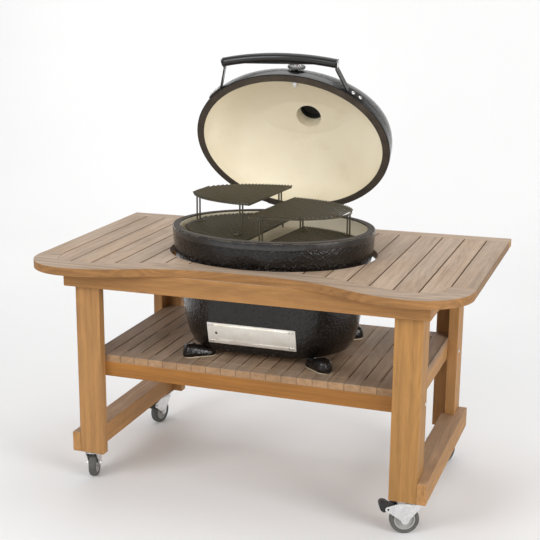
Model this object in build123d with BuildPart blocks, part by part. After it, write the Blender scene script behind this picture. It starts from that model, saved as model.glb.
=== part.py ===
from build123d import *
import math
import os

os.makedirs("parts", exist_ok=True)

# Kamado grill set in a wheeled timber table.
# X runs along the table, Y from its front to its back, Z up from the floor.
# The origin lies on the floor under the middle of the table, which is also the
# centre of the oval grill.  All sizes are in millimetres.

# ---------------------------------------------------------------- driving sizes

# Table top
table_length = 1550
table_height = 866
top_thickness = 28
back_edge_y = 500
back_board_width = 66
front_middle_y = -372  # front edge before the grill
front_shoulder_share = 0.4  # of half the length, to a point on the sweep out to the bulge
front_shoulder_y = -413
front_bulge_inset = 175  # from the end of the table to the foremost point of a bulge
front_bulge_y = -500
corner_start_y = -330  # where the rounded corner meets the straight end
front_board_width = 82  # in the middle
shoulder_board_width = 94
bulge_board_width = 98
corner_block_depth = 40  # straight end of the corner block
corner_block_lead = 45  # from the bulge to the foot of the corner block's curve
plank_count = 19
plank_gap = 3
cutout_clearance = 10

# Timber frame
apron_height = 68
front_apron_thickness = 37
side_apron_thickness = 27
leg_inset = 151  # from the end of the table to the outer face of a leg
leg_front_y = -348
leg_back_y = 432
leg_board_thickness = 37
leg_face_width = 94
leg_side_width = 66
rail_stand_out = 31  # bottom rail beyond the outer face of the legs
rail_width = 81
rail_height = 75
shelf_drop = 361  # top of the shelf below the top of the table
deck_thickness = 25
shelf_rail_height = 55
shelf_rail_thickness = 30
deck_border = 62
slat_count = 19
slat_gap = 2.5
edge_ease = 1.5
joint_gap = 0.3

# Casters
caster_height = 127
wheel_diameter = 100
wheel_width = 30
tyre_depth = 14
hub_length = 36
hub_diameter = 26
plate_length = 96
plate_width = 74
plate_thickness = 3
head_diameter = 58
head_height = 12
fork_thickness = 3
fork_foot_diameter = 26
fork_nose_diameter = 20
fork_crown_reach = 58  # ahead of the swivel axis
caster_trail = 32
axle_diameter = 10
axle_head_diameter = 16
axle_head_height = 5
caster_screw_diameter = 7
caster_screw_head = 13
caster_inset = 58  # from the end of a bottom rail to the swivel axis
caster_outset = 49  # from the outer face of a bottom rail to the swivel axis
caster_angles = {"front_right": 203, "front_left": 105, "back_left": 262, "back_right": 240}
kingpin_diameter = 12
kingpin_head = 20
kingpin_head_height = 4
pedal_pivot = (90, 92)  # ahead of the swivel axis along the trail, and above the floor
pedal_outline = (  # side view, from the heel round the toe, in the same axes
    (64, 103),
    (84, 106),
    (98, 116),
    (113, 117),
    (120, 108),
    (116, 89),
    (105, 79),
    (84, 84),
    (66, 95),
)
pedal_pin_diameter = 7
running_gap = 1.0  # between a turning piece and the one that carries it
shaft_gap = 0.05

# Grill shells
oval_ratio = 0.82  # width of the oval over its length
foot_seat = 30  # underside of the base above the shelf
base_profile = (  # height above the underside, half length of the oval
    (0, 292),
    (26, 307),
    (85, 322),
    (165, 336),
    (245, 348),
    (331, 361),
    (400, 367),
)
rim_straight = 22  # upright zone of each rim, where its band sits
shell_wall = 25
front_facet_y = -207  # flat for the draft frame, at the underside
front_facet_tilt = 14  # degrees from the vertical
gasket_thickness = 4
gasket_width = 23
gasket_inset = 1
gasket_gap = 1
dome_height = 206
dome_power_long = 2.6  # along the oval: higher is squarer in the shoulder
dome_power_wide = 1.75  # across the oval
dome_crown = 0.945  # share of the dome's height where its flat crown lies
chimney_diameter = 96
chimney_place = (22, -8)  # from the middle of the dome
chimney_neck_diameter = 140
chimney_neck_height = 36  # above the crown

# Firebox and fire grate
firebox_gap = 8
firebox_wall = 33
firebox_top = 365  # above the underside of the base
firebox_floor = 112
firebox_floor_thickness = 20
firebox_floor_hole = (300, 200)
firebox_arch = (300, 75)
fire_grate_thickness = 9
fire_grate_lap = 14
fire_grate_slot = 10
fire_grate_bar = 12

# Ceramic feet
foot_length = 124
foot_width = 58
foot_waist_height = 38
foot_toe_height = 46
foot_overhang = 91
foot_angle = 46.6  # degrees from the long axis of the oval
foot_drift = 14  # the loose feet stand this far to the right of their places

# Draft
draft_centre = 73  # up the facet from the underside of the base
draft_plate_length = 326
draft_plate_height = 82
draft_plate_thickness = 1.5
draft_opening_length = 270
draft_opening_height = 50
draft_window_margin = 6  # from the window to the door's edges
draft_channel_length = 276
draft_door_length = 134
draft_door_height = 62
draft_lip = 4  # how far a channel's lip laps the door
draft_slide_gap = 0.5
draft_tab_height = 24
draft_tab_depth = 12
draft_hole_diameter = 10
draft_hole_x = -131
draft_screw_diameter = 4
draft_screw_head = 9
draft_screw_head_height = 2.5
draft_screw_inset = 9
draft_screw_pitch = 11
draft_screw_length = 14

# Bands, hinge and handle
band_height = 22
band_thickness = 2
band_gap = 0.2
hinge_y = 320
hinge_drop = 44  # hinge axis below the rim of the lid
lid_open_angle = 61.5
hinge_pin_diameter = 12
hinge_pin_length = 262
hinge_pin_head = 18
hinge_pin_head_height = 4
knuckle_diameter = 24
hinge_ear_x = 118
hinge_arm_x = 96
hinge_plate_thickness = 6
hinge_strap_thickness = 3
hinge_strap_length = 270
base_strap_height = 50
spring_wire = 4
spring_bore_gap = 0.3
spring_turns = 8
spring_pitch = 6.5
spring_middle_x = 54
handle_length = 414
handle_diameter = 32
handle_bow = 22
handle_cap_thickness = 3
handle_cap_diameter = 30
handle_stud_length = 26
handle_reach = 40  # grip axis in front of the band, at the grip's ends
handle_lift = 16  # grip axis above the rim of the lid
strap_width = 24
strap_thickness = 5
strap_foot_angles = (-50.5, -39)  # round the oval, from its long axis to each end of a strap's foot
strap_bolt_angles = (-47, -42)
strap_bolt_length = 24
strap_end_front = 12  # how far a strap's flat end reaches in front of the grip's axis
strap_end_back = 17.5  # and behind it, clear of the cap's edge
leg_bolt_length = 56
leg_bolt_inset = 45  # from the joint of a leg's two boards
bolt_diameter = 8
bolt_head = 14
bolt_head_height = 5

# Thermometer
thermometer_x = 46
thermometer_lift = 52  # middle of the dial above the rim of the lid
thermometer_tilt = 23  # lean of the dome there, in degrees from the vertical
dial_diameter = 64
dial_depth = 10
dial_rim = 3
dial_recess = 6
dial_gap = 4  # between the dial and the dome
lens_thickness = 1
stem_diameter = 8
stem_length = 70
stem_nut = 26
stem_nut_length = 33
neck_nut = 16
needle_length = 23
needle_width = 3
needle_thickness = 0.8
needle_hub = 6
needle_lift = 1.5
needle_pin_diameter = 2.5

# Vent
vent_collar_diameter = 150
vent_collar_height = 14
vent_cap_diameter = 118
vent_cap_thickness = 8
vent_pivot_radius = 62
vent_pivot_boss = 20
vent_bolt_diameter = 8
vent_bolt_head = 15
vent_bolt_head_height = 5
vent_gap = 0.3
vent_sleeve_gap = 0.5
vent_sleeve_length = 6
vent_sleeve_wall = 4
vent_knob_diameter = 20
vent_knob_height = 22

# Grates and racks
grate_half_length = 322
grate_half_width = 252
rack_half_length = 294
rack_half_width = 198
rod_diameter = 5.5
rod_pitch = 12
ring_width = 6
ring_height = 6
ring_sink = 1  # how deep the rods sit in the ring
grate_rise = 42  # left grate stands higher on its legs
rack_leg_height = 111
rack_leg_wire = 6
rack_leg_spread = 24
rack_leg_inset = 8
rack_leg_rod = 3  # the end legs hang from this rod, counted from the straight edge
rack_foot_length = 22
rack_foot_bend = 8
rod_overhang = 3
left_grate_place = (-6, 8, -4)
right_grate_place = (8, 6, -7)
left_rack_place = (-6, 3, -4)
right_rack_place = (0, -6, -6)

# ---------------------------------------------------------------- derived places

half_length = table_length / 2
front_shoulder = (front_shoulder_share * half_length, front_shoulder_y)
front_bulge = (half_length - front_bulge_inset, front_bulge_y)
top_z = table_height
under_top_z = table_height - top_thickness
plank_front_y = corner_start_y + corner_block_depth
planks_back_y = back_edge_y - back_board_width
plank_pitch = (table_length + plank_gap) / plank_count
gap_lines = [-half_length - plank_gap / 2 + plank_pitch * i for i in range(1, plank_count)]
corner_block_x = gap_lines[-1] + plank_gap / 2
leg_outer_x = half_length - leg_inset
leg_inner_x = leg_outer_x - leg_face_width
side_board_x = leg_outer_x - leg_board_thickness
frame_front_y = leg_front_y + leg_board_thickness
frame_back_y = leg_back_y - leg_board_thickness
rail_outer_x = leg_outer_x + rail_stand_out
rail_inner_x = rail_outer_x - rail_width
rail_top_z = caster_height + rail_height
shelf_height = table_height - shelf_drop
deck_under_z = shelf_height - deck_thickness
shelf_rail_z = deck_under_z - shelf_rail_height

base_bottom_z = shelf_height + foot_seat
base_rim_z = base_bottom_z + base_profile[-1][0] + rim_straight
lid_rim_z = base_rim_z + 2 * gasket_thickness + gasket_gap
hinge_z = lid_rim_z - hinge_drop
rim_half = base_profile[-1][1]
rim_half_width = rim_half * oval_ratio

hinge_axis = Axis((0, hinge_y, hinge_z), (1, 0, 0))


# ---------------------------------------------------------------- shared helpers


def save(shape, label):
    """Label a finished piece and write its STEP file."""
    shape.label = label
    export_step(shape, f"parts/{label}.step")


def opened(shape):
    """Swing a piece of the closed lid back to its open rest."""
    return shape.rotate(hinge_axis, -lid_open_angle)


def save_lid(shape, label):
    save(opened(shape), label)


def board(x_span, y_span, z_span, holes=()):
    """A straight sawn board with eased edges between three spans, drilled on the given planes."""
    with BuildPart() as piece:
        with BuildSketch(Plane.XY.offset(z_span[0])):
            with Locations((sum(x_span) / 2, sum(y_span) / 2)):
                Rectangle(x_span[1] - x_span[0], y_span[1] - y_span[0])
        extrude(amount=z_span[1] - z_span[0])
        chamfer(piece.edges(), edge_ease)
        for plane in holes:
            with BuildSketch(plane):
                Circle(bolt_diameter / 2)
            extrude(amount=-leg_bolt_length, mode=Mode.SUBTRACT)
    return piece.part


def group(shapes):
    """Several separate solids that share one node."""
    return Compound(children=list(shapes))


# ---------------------------------------------------------------- table top


def front_board_inner(shift):
    """Line where the planks meet the front board, right half, from the middle outwards."""
    middle = (0, front_middle_y + front_board_width + shift)
    shoulder = (front_shoulder[0], front_shoulder[1] + shoulder_board_width + shift)
    bulge = (front_bulge[0], front_bulge[1] + bulge_board_width + shift)
    foot = (front_bulge[0] + corner_block_lead, bulge[1])
    head = (corner_block_x, plank_front_y + shift)
    Spline([middle, shoulder, bulge], tangents=[(1, 0), (1, 0)])
    Line(bulge, foot)
    Spline([foot, head], tangents=[(1, 0.2), (0.4, 1)])
    return middle, head


def grill_cutout():
    """Oval hole that the grill drops through."""
    long_half = rim_half + band_thickness + cutout_clearance
    wide_half = rim_half_width + band_thickness + cutout_clearance
    Ellipse(long_half, wide_half, mode=Mode.SUBTRACT)


with BuildPart() as top_front_board:
    with BuildSketch(Plane.XY.offset(under_top_z)):
        with BuildLine():
            inner_middle, inner_head = front_board_inner(0)
            Spline(
                [(0, front_middle_y), front_shoulder, front_bulge],
                tangents=[(1, 0), (1, 0)],
            )
            corner = EllipticalCenterArc(
                (front_bulge[0], corner_start_y),
                half_length - front_bulge[0],
                corner_start_y - front_bulge[1],
                start_angle=270,
                arc_size=90,
            )
            Polyline((half_length, corner_start_y), (half_length, plank_front_y), inner_head)
            Line(inner_middle, (0, front_middle_y))
        make_face()
        mirror(about=Plane.YZ)
        grill_cutout()
    extrude(amount=top_thickness)
save(top_front_board.part, "top_front_board")

save(
    board(
        (-half_length, half_length),
        (planks_back_y, back_edge_y),
        (under_top_z, top_z),
    ),
    "top_back_board",
)

with BuildPart() as top_planks:
    with BuildSketch(Plane.XY.offset(under_top_z)):
        with BuildLine():
            field_middle, field_head = front_board_inner(joint_gap)
            Polyline(
                field_head,
                (half_length, field_head[1]),
                (half_length, planks_back_y),
                (0, planks_back_y),
                field_middle,
            )
        make_face()
        mirror(about=Plane.YZ)
        grill_cutout()
        with Locations(*[(x, 0) for x in gap_lines]):
            Rectangle(plank_gap, 4 * back_edge_y, mode=Mode.SUBTRACT)
    extrude(amount=top_thickness)
    chamfer(top_planks.edges().group_by(Axis.Z)[-1], edge_ease)
save(top_planks.part, "top_planks")

# ---------------------------------------------------------------- aprons, legs, rails

apron_z = (under_top_z - apron_height, under_top_z)
apron_x = leg_outer_x + side_apron_thickness
front_apron_y = (leg_front_y - front_apron_thickness, leg_front_y)
back_apron_y = (leg_back_y, leg_back_y + front_apron_thickness)
save(board((-apron_x, apron_x), front_apron_y, apron_z), "apron_front")
save(board((-apron_x, apron_x), back_apron_y, apron_z), "apron_back")
for side, sign in (("left", -1), ("right", 1)):
    span = sorted((sign * leg_outer_x, sign * apron_x))
    save(board(span, (leg_front_y, leg_back_y), apron_z), f"apron_{side}")


def leg_bolt_planes(sign):
    """Outer faces of the two legs on one side, where a bolt goes in to the shelf rail."""
    bolt_z = shelf_rail_z + shelf_rail_height / 2
    bolt_ys = (frame_front_y + leg_bolt_inset, frame_back_y - leg_bolt_inset)
    return [Plane(origin=(sign * leg_outer_x, y, bolt_z), z_dir=(sign, 0, 0)) for y in bolt_ys]


for side, sign in (("left", -1), ("right", 1)):
    face_x = sorted((sign * leg_inner_x, sign * leg_outer_x))
    side_x = sorted((sign * side_board_x, sign * leg_outer_x))
    leg_spans = (
        ("front", (leg_front_y, frame_front_y), (frame_front_y, frame_front_y + leg_side_width)),
        ("back", (frame_back_y, leg_back_y), (frame_back_y - leg_side_width, frame_back_y)),
    )
    for end, face_y, side_y in leg_spans:
        face_board = board(face_x, face_y, (caster_height, under_top_z))
        side_board = board(side_x, side_y, (rail_top_z, under_top_z), leg_bolt_planes(sign))
        save(group([face_board, side_board]), f"leg_{end}_{side}")

for side, sign in (("left", -1), ("right", 1)):
    with BuildPart() as bottom_rail:
        notch_width = leg_outer_x - rail_inner_x
        notch_x = sign * (leg_outer_x + rail_inner_x) / 2
        notch_front_y = leg_front_y + leg_board_thickness / 2
        notch_back_y = leg_back_y - leg_board_thickness / 2
        with BuildSketch(Plane.XY.offset(caster_height)):
            with Locations((sign * (rail_outer_x + rail_inner_x) / 2, (leg_front_y + leg_back_y) / 2)):
                Rectangle(rail_width, leg_back_y - leg_front_y)
            with Locations((notch_x, notch_front_y), (notch_x, notch_back_y)):
                Rectangle(notch_width, leg_board_thickness, mode=Mode.SUBTRACT)
        extrude(amount=rail_height)
        chamfer(bottom_rail.edges().group_by(Axis.Z)[-1], edge_ease)
        chamfer(bottom_rail.edges().group_by(Axis.Z)[0], edge_ease)
    save(bottom_rail.part, f"bottom_rail_{side}")

# ---------------------------------------------------------------- shelf

shelf_z = (shelf_rail_z, deck_under_z)
deck_z = (deck_under_z, shelf_height)
shelf_front_y = (frame_front_y, frame_front_y + shelf_rail_thickness)
shelf_back_y = (frame_back_y - shelf_rail_thickness, frame_back_y)
side_rail_y = (shelf_front_y[1], shelf_back_y[0])
side_rail_inner_x = side_board_x - shelf_rail_thickness
shelf_middle_y = (frame_front_y + frame_back_y) / 2
save(board((-side_board_x, side_board_x), shelf_front_y, shelf_z), "shelf_front_rail")
save(board((-side_board_x, side_board_x), shelf_back_y, shelf_z), "shelf_back_rail")
for side, sign in (("left", -1), ("right", 1)):
    span = sorted((sign * side_rail_inner_x, sign * side_board_x))
    save(board(span, side_rail_y, shelf_z, leg_bolt_planes(sign)), f"shelf_{side}_rail")
middle_rail_y = (shelf_middle_y - shelf_rail_thickness / 2, shelf_middle_y + shelf_rail_thickness / 2)
save(board((-side_rail_inner_x, side_rail_inner_x), middle_rail_y, shelf_z), "shelf_middle_rail")

deck_inner_x = side_board_x - deck_border
deck_rows = (
    (frame_front_y + deck_border, shelf_middle_y - deck_border / 2),
    (shelf_middle_y + deck_border / 2, frame_back_y - deck_border),
)
deck = [
    board((-side_board_x, side_board_x), (frame_front_y, deck_rows[0][0]), deck_z),
    board((-side_board_x, side_board_x), (deck_rows[1][1], frame_back_y), deck_z),
    board((-deck_inner_x, deck_inner_x), (deck_rows[0][1], deck_rows[1][0]), deck_z),
    board((-side_board_x, -deck_inner_x), (deck_rows[0][0], deck_rows[1][1]), deck_z),
    board((deck_inner_x, side_board_x), (deck_rows[0][0], deck_rows[1][1]), deck_z),
]
slat_pitch = (2 * deck_inner_x - slat_gap) / slat_count
slat_width = slat_pitch - slat_gap
for row in deck_rows:
    for i in range(slat_count):
        slat_start = -deck_inner_x + slat_gap + i * slat_pitch
        deck.append(board((slat_start, slat_start + slat_width), row, deck_z))
save(group(deck), "shelf_deck")

# ---------------------------------------------------------------- bolts


def button_bolt(plane, head, head_height, shank, length):
    """Round-headed bolt: its head stands on the plane and its shank goes in behind it."""
    with BuildPart() as bolt:
        with BuildSketch(plane):
            Circle(head / 2)
        extrude(amount=head_height, taper=20)
        with BuildSketch(plane):
            Circle(shank / 2)
        extrude(amount=-length)
    return bolt.part


def drilled(shape, bolts):
    """A piece with the given bolts' shanks cut out of it."""
    for bolt in bolts:
        shape = shape - bolt
    return shape


leg_bolts = [
    button_bolt(plane, bolt_head, bolt_head_height, bolt_diameter, leg_bolt_length)
    for sign in (-1, 1)
    for plane in leg_bolt_planes(sign)
]
save(group(leg_bolts), "leg_bolts")

# ---------------------------------------------------------------- casters

axle_z = wheel_diameter / 2
plate_under_z = caster_height - plate_thickness
race_under_z = plate_under_z - head_height
crown_top_z = race_under_z - running_gap
crown_under_z = crown_top_z - fork_thickness
fork_inner = hub_length / 2 + running_gap
fork_outer = fork_inner + fork_thickness
rail_ends = {"front": leg_front_y + caster_inset, "back": leg_back_y - caster_inset}
rail_sides = {"left": caster_outset - rail_outer_x, "right": rail_outer_x - caster_outset}


def caster_place(corner):
    """Swivel frame of a caster: X along its trail, Z up from the floor."""
    end, side = corner.split("_")
    return Location((rail_sides[side], rail_ends[end], 0), (0, 0, caster_angles[corner]))


plates = []
for corner in caster_angles:
    swivel = caster_place(corner).position
    with BuildPart() as plate:
        with BuildSketch(Plane.XY.offset(plate_under_z)):
            with Locations((swivel.X, swivel.Y)):
                RectangleRounded(plate_width, plate_length, bolt_head / 2)
                with GridLocations(
                    plate_width - 2 * caster_screw_head,
                    plate_length - 1.5 * caster_screw_head,
                    2,
                    2,
                ):
                    Circle(caster_screw_diameter / 2, mode=Mode.SUBTRACT)
        extrude(amount=plate_thickness)
        with BuildSketch(Plane.XY.offset(plate_under_z)):
            with Locations((swivel.X, swivel.Y)):
                Circle(head_diameter / 2)
        extrude(amount=-head_height, taper=8)
        with BuildSketch(Plane.XY.offset(race_under_z)):
            with Locations((swivel.X, swivel.Y)):
                Circle(kingpin_diameter / 2)
        extrude(amount=crown_under_z - running_gap - kingpin_head_height - race_under_z)
        with BuildSketch(Plane.XY.offset(crown_under_z - running_gap)):
            with Locations((swivel.X, swivel.Y)):
                Circle(kingpin_head / 2)
        extrude(amount=-kingpin_head_height)
    plates.append(plate.part)
save(group(plates), "caster_plates")

with BuildPart() as fork:
    with BuildSketch(Plane.XY.offset(crown_under_z)):
        Circle(head_diameter / 2)
        with Locations((fork_crown_reach / 2, 0)):
            Rectangle(fork_crown_reach, 2 * fork_outer)
        Circle(kingpin_diameter / 2 + shaft_gap, mode=Mode.SUBTRACT)
    extrude(amount=fork_thickness)
    for sign in (-1, 1):
        with BuildSketch(Plane.XZ.offset(sign * (fork_inner + fork_outer) / 2)):
            with BuildLine():
                Polyline(
                    (-head_diameter / 2, crown_top_z),
                    (fork_crown_reach, crown_top_z),
                    (pedal_pivot[0], pedal_pivot[1] + fork_nose_diameter / 2),
                    (pedal_pivot[0], pedal_pivot[1] - fork_nose_diameter / 2),
                    (caster_trail + fork_foot_diameter / 2, axle_z),
                    (caster_trail - fork_foot_diameter / 2, axle_z),
                    close=True,
                )
            make_face()
            with Locations((caster_trail, axle_z)):
                Circle(fork_foot_diameter / 2)
                Circle(axle_diameter / 2, mode=Mode.SUBTRACT)
            with Locations(pedal_pivot):
                Circle(fork_nose_diameter / 2)
                Circle(pedal_pin_diameter / 2 + shaft_gap, mode=Mode.SUBTRACT)
        extrude(amount=fork_thickness / 2, both=True)

with BuildPart() as axle:
    with BuildSketch(Plane.XZ):
        with Locations((caster_trail, axle_z)):
            Circle(axle_diameter / 2)
    extrude(amount=fork_outer + axle_head_height, both=True)
    for sign in (-1, 1):
        with BuildSketch(Plane.XZ.offset(sign * fork_outer)):
            with Locations((caster_trail, axle_z)):
                RegularPolygon(axle_head_diameter / 2, 6)
        extrude(amount=sign * axle_head_height)

with BuildPart() as tyre:
    with BuildSketch(Plane.XZ):
        with Locations((caster_trail, axle_z)):
            Circle(wheel_diameter / 2)
            Circle(wheel_diameter / 2 - tyre_depth, mode=Mode.SUBTRACT)
    extrude(amount=wheel_width / 2, both=True)
    round_edges = tyre.edges().filter_by(GeomType.CIRCLE)
    fillet(round_edges.filter_by(lambda e: e.radius > wheel_diameter / 2 - 1), wheel_width / 5)

with BuildPart() as wheel_core:
    with BuildSketch(Plane.XZ):
        with Locations((caster_trail, axle_z)):
            Circle(wheel_diameter / 2 - tyre_depth)
    extrude(amount=wheel_width / 4, both=True)
    with BuildSketch(Plane.XZ):
        with Locations((caster_trail, axle_z)):
            Circle(hub_diameter / 2)
    extrude(amount=hub_length / 2, both=True)
    with BuildSketch(Plane.XZ):
        with Locations((caster_trail, axle_z)):
            Circle(axle_diameter / 2 + shaft_gap)
    extrude(amount=hub_length, both=True, mode=Mode.SUBTRACT)

with BuildPart() as pedal:
    with BuildSketch(Plane.XZ):
        with BuildLine():
            Polyline(*pedal_outline, close=True)
        make_face()
    extrude(amount=hub_length / 2, both=True)
    with BuildSketch(Plane.XZ):
        with Locations(pedal_pivot):
            Circle(pedal_pin_diameter / 2)
    extrude(amount=fork_outer, both=True)

for corner in caster_angles:
    place = caster_place(corner)
    save(group([fork.part.moved(place), axle.part.moved(place)]), f"caster_fork_{corner}")
    save(group([tyre.part.moved(place), wheel_core.part.moved(place)]), f"caster_wheel_{corner}")
    save(pedal.part.moved(place), f"caster_pedal_{corner}")

# ---------------------------------------------------------------- grill base

facet_angle = math.radians(front_facet_tilt)
facet = Plane(
    origin=(0, front_facet_y, base_bottom_z),
    x_dir=(1, 0, 0),
    z_dir=(0, -math.cos(facet_angle), -math.sin(facet_angle)),
)


def base_half(height):
    """Half length of the base's outer oval at a height above its underside."""
    for (low, low_half), (high, high_half) in zip(base_profile, base_profile[1:]):
        if height <= high:
            return low_half + (high_half - low_half) * (height - low) / (high - low)
    return base_profile[-1][1]


def oval_solid(levels, inset, facet_inset=None):
    """Loft through ovals set in from the base's outer form, trimmed behind its front facet."""
    with BuildPart() as solid:
        for level in levels:
            half = base_half(level)
            with BuildSketch(Plane.XY.offset(base_bottom_z + level)):
                Ellipse(half - inset, half * oval_ratio - inset)
        loft()
        if facet_inset is not None:
            split(bisect_by=facet.offset(-facet_inset), keep=Keep.BOTTOM)
    return solid.part


def ring_solid(half, half_width, width, low_z, height):
    """Upright oval ring of one width, growing outwards from its inner oval."""
    with BuildPart() as ring:
        with BuildSketch(Plane.XY.offset(low_z)):
            Ellipse(half + width, half_width + width)
            Ellipse(half, half_width, mode=Mode.SUBTRACT)
        extrude(amount=height)
    return ring.part


profile_levels = [level for level, _ in base_profile]
wall_levels = [shell_wall] + [level for level in profile_levels if level > 2 * shell_wall]
rim_level = profile_levels[-1]

with BuildPart() as base_shell:
    add(oval_solid(profile_levels, 0, 0))
    with BuildSketch(Plane.XY.offset(base_bottom_z + rim_level)):
        Ellipse(rim_half, rim_half_width)
    extrude(amount=rim_straight)
    add(oval_solid(wall_levels, shell_wall, shell_wall), mode=Mode.SUBTRACT)
    with BuildSketch(Plane.XY.offset(base_bottom_z + rim_level)):
        Ellipse(rim_half - shell_wall, rim_half_width - shell_wall)
    extrude(amount=rim_straight, mode=Mode.SUBTRACT)
    with BuildSketch(facet):
        with Locations((0, draft_centre)):
            Rectangle(draft_opening_length, draft_opening_height)
    extrude(amount=-1.5 * shell_wall, mode=Mode.SUBTRACT)

draft_bolts = []
screw_half_length = draft_plate_length / 2 - draft_screw_inset
screw_half_height = draft_plate_height / 2 - draft_screw_inset
for x_sign in (-1, 1):
    for inset in (0, draft_screw_pitch):
        for y_sign in (-1, 1):
            screw_x = x_sign * (screw_half_length - inset)
            screw_y = draft_centre + y_sign * screw_half_height
            seat = facet.offset(draft_plate_thickness)
            spot = Plane(origin=seat.from_local_coords((screw_x, screw_y, 0)), z_dir=facet.z_dir)
            draft_bolts.append(
                button_bolt(
                    spot,
                    draft_screw_head,
                    draft_screw_head_height,
                    draft_screw_diameter,
                    draft_screw_length,
                )
            )
save(drilled(base_shell.part, draft_bolts), "base_shell")
save(group(draft_bolts), "draft_screws")

gasket_half = rim_half - gasket_inset - gasket_width
gasket_half_width = rim_half_width - gasket_inset - gasket_width
save(
    ring_solid(gasket_half, gasket_half_width, gasket_width, base_rim_z, gasket_thickness),
    "base_gasket",
)
band_half = rim_half + band_gap
band_half_width = rim_half_width + band_gap
save(
    ring_solid(band_half, band_half_width, band_thickness, base_rim_z - band_height, band_height),
    "base_band",
)

# Draft frame and door, laid out on the facet with the opening at its middle
door_plane = facet.offset(draft_plate_thickness + draft_slide_gap)
channel_depth = draft_plate_thickness + 2 * draft_slide_gap
channel_half_height = draft_door_height / 2 + draft_slide_gap
door_x = draft_channel_length / 2 - draft_slide_gap - draft_door_length / 2
window_length = draft_door_length - 2 * draft_window_margin
with BuildPart() as draft_frame:
    with BuildSketch(facet):
        with Locations((0, draft_centre)):
            Rectangle(draft_plate_length, draft_plate_height)
        with Locations((door_x, draft_centre)):
            Rectangle(window_length, draft_opening_height, mode=Mode.SUBTRACT)
        with Locations((draft_hole_x, draft_centre)):
            Circle(draft_hole_diameter / 2, mode=Mode.SUBTRACT)
    extrude(amount=draft_plate_thickness)
    for sign in (-1, 1):
        with BuildSketch(facet.offset(draft_plate_thickness)):
            with Locations((0, draft_centre + sign * (channel_half_height + draft_plate_thickness / 2))):
                Rectangle(draft_channel_length, draft_plate_thickness)
        extrude(amount=channel_depth)
        lip_height = draft_lip + draft_plate_thickness
        lip_y = channel_half_height + draft_plate_thickness - lip_height / 2
        with BuildSketch(facet.offset(draft_plate_thickness + channel_depth)):
            with Locations((0, draft_centre + sign * lip_y)):
                Rectangle(draft_channel_length, lip_height)
        extrude(amount=draft_plate_thickness)
save(drilled(draft_frame.part, draft_bolts), "draft_frame")

with BuildPart() as draft_door:
    with BuildSketch(door_plane):
        with Locations((door_x, draft_centre)):
            Rectangle(draft_door_length, draft_door_height)
    extrude(amount=draft_plate_thickness)
    with BuildSketch(door_plane):
        tab_x = door_x - draft_door_length / 2 + draft_plate_thickness / 2
        with Locations((tab_x, draft_centre)):
            Rectangle(draft_plate_thickness, draft_tab_height)
    extrude(amount=draft_plate_thickness + draft_tab_depth)
save(draft_door.part, "draft_door")

# Firebox: an open oval cup whose floor stands off the base on its own skirt
firebox_inset = shell_wall + firebox_gap
chamber_inset = firebox_inset + firebox_wall
chamber_floor = firebox_floor + firebox_floor_thickness
middle_levels = [level for level in profile_levels if 2 * shell_wall < level < firebox_top]
firebox_levels = [shell_wall] + middle_levels + [firebox_top]
chamber_levels = [chamber_floor] + [x for x in firebox_levels if x > chamber_floor + shell_wall]
ash_levels = [shell_wall, firebox_floor]
with BuildPart() as firebox:
    add(oval_solid(firebox_levels, firebox_inset, firebox_inset))
    add(oval_solid(chamber_levels, chamber_inset, chamber_inset), mode=Mode.SUBTRACT)
    add(oval_solid(ash_levels, chamber_inset, chamber_inset), mode=Mode.SUBTRACT)
    with BuildSketch(Plane.XY.offset(base_bottom_z + firebox_floor)):
        Ellipse(firebox_floor_hole[0] / 2, firebox_floor_hole[1] / 2)
    extrude(amount=firebox_floor_thickness, mode=Mode.SUBTRACT)
    with BuildSketch(facet.offset(-firebox_inset)):
        with Locations((0, shell_wall + firebox_arch[1] / 2)):
            Rectangle(*firebox_arch)
    extrude(amount=-1.5 * firebox_wall, mode=Mode.SUBTRACT)
save(firebox.part, "firebox")

with BuildPart() as fire_grate:
    with BuildSketch(Plane.XY.offset(base_bottom_z + chamber_floor)):
        Ellipse(
            firebox_floor_hole[0] / 2 + fire_grate_lap,
            firebox_floor_hole[1] / 2 + fire_grate_lap,
        )
        slot_pitch = fire_grate_slot + fire_grate_bar
        slot_count = int(firebox_floor_hole[0] / slot_pitch / 2)
        for i in range(-slot_count, slot_count + 1):
            slot_x = i * slot_pitch
            reach = 1 - (2 * slot_x / firebox_floor_hole[0]) ** 2
            if reach > 0.1:
                with Locations((slot_x, 0)):
                    slot_length = firebox_floor_hole[1] * math.sqrt(reach)
                    SlotOverall(slot_length, fire_grate_slot, rotation=90, mode=Mode.SUBTRACT)
    extrude(amount=fire_grate_thickness)
save(fire_grate.part, "fire_grate")


def shoe_foot(x_sign, y_sign):
    """Glazed foot like a shoe: its heel is under the base and its toe stands up outside."""
    angle = math.radians(foot_angle)
    edge = (
        x_sign * base_half(0) * math.cos(angle),
        y_sign * base_half(0) * oval_ratio * math.sin(angle),
    )
    outward = math.degrees(math.atan2(edge[1], edge[0]))
    with BuildPart() as foot:
        with BuildSketch(Plane.XZ):
            with BuildLine():
                Polyline(
                    (foot_overhang - foot_length, 0),
                    (foot_overhang - foot_length, foot_seat),
                    (0, foot_seat),
                    (foot_overhang - foot_width, foot_waist_height),
                    (foot_overhang - foot_width * 0.7, foot_toe_height),
                    (foot_overhang - foot_width * 0.25, foot_toe_height),
                    (foot_overhang, foot_toe_height * 0.6),
                    (foot_overhang, 0),
                    close=True,
                )
            make_face()
        extrude(amount=foot_width, both=True)
        with BuildSketch(Plane.XY):
            with Locations((foot_overhang - foot_length / 2, 0)):
                SlotOverall(foot_length, foot_width)
        extrude(amount=foot_toe_height, mode=Mode.INTERSECT)
    return foot.part.moved(Location((edge[0] + foot_drift, edge[1], shelf_height), (0, 0, outward)))


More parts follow.
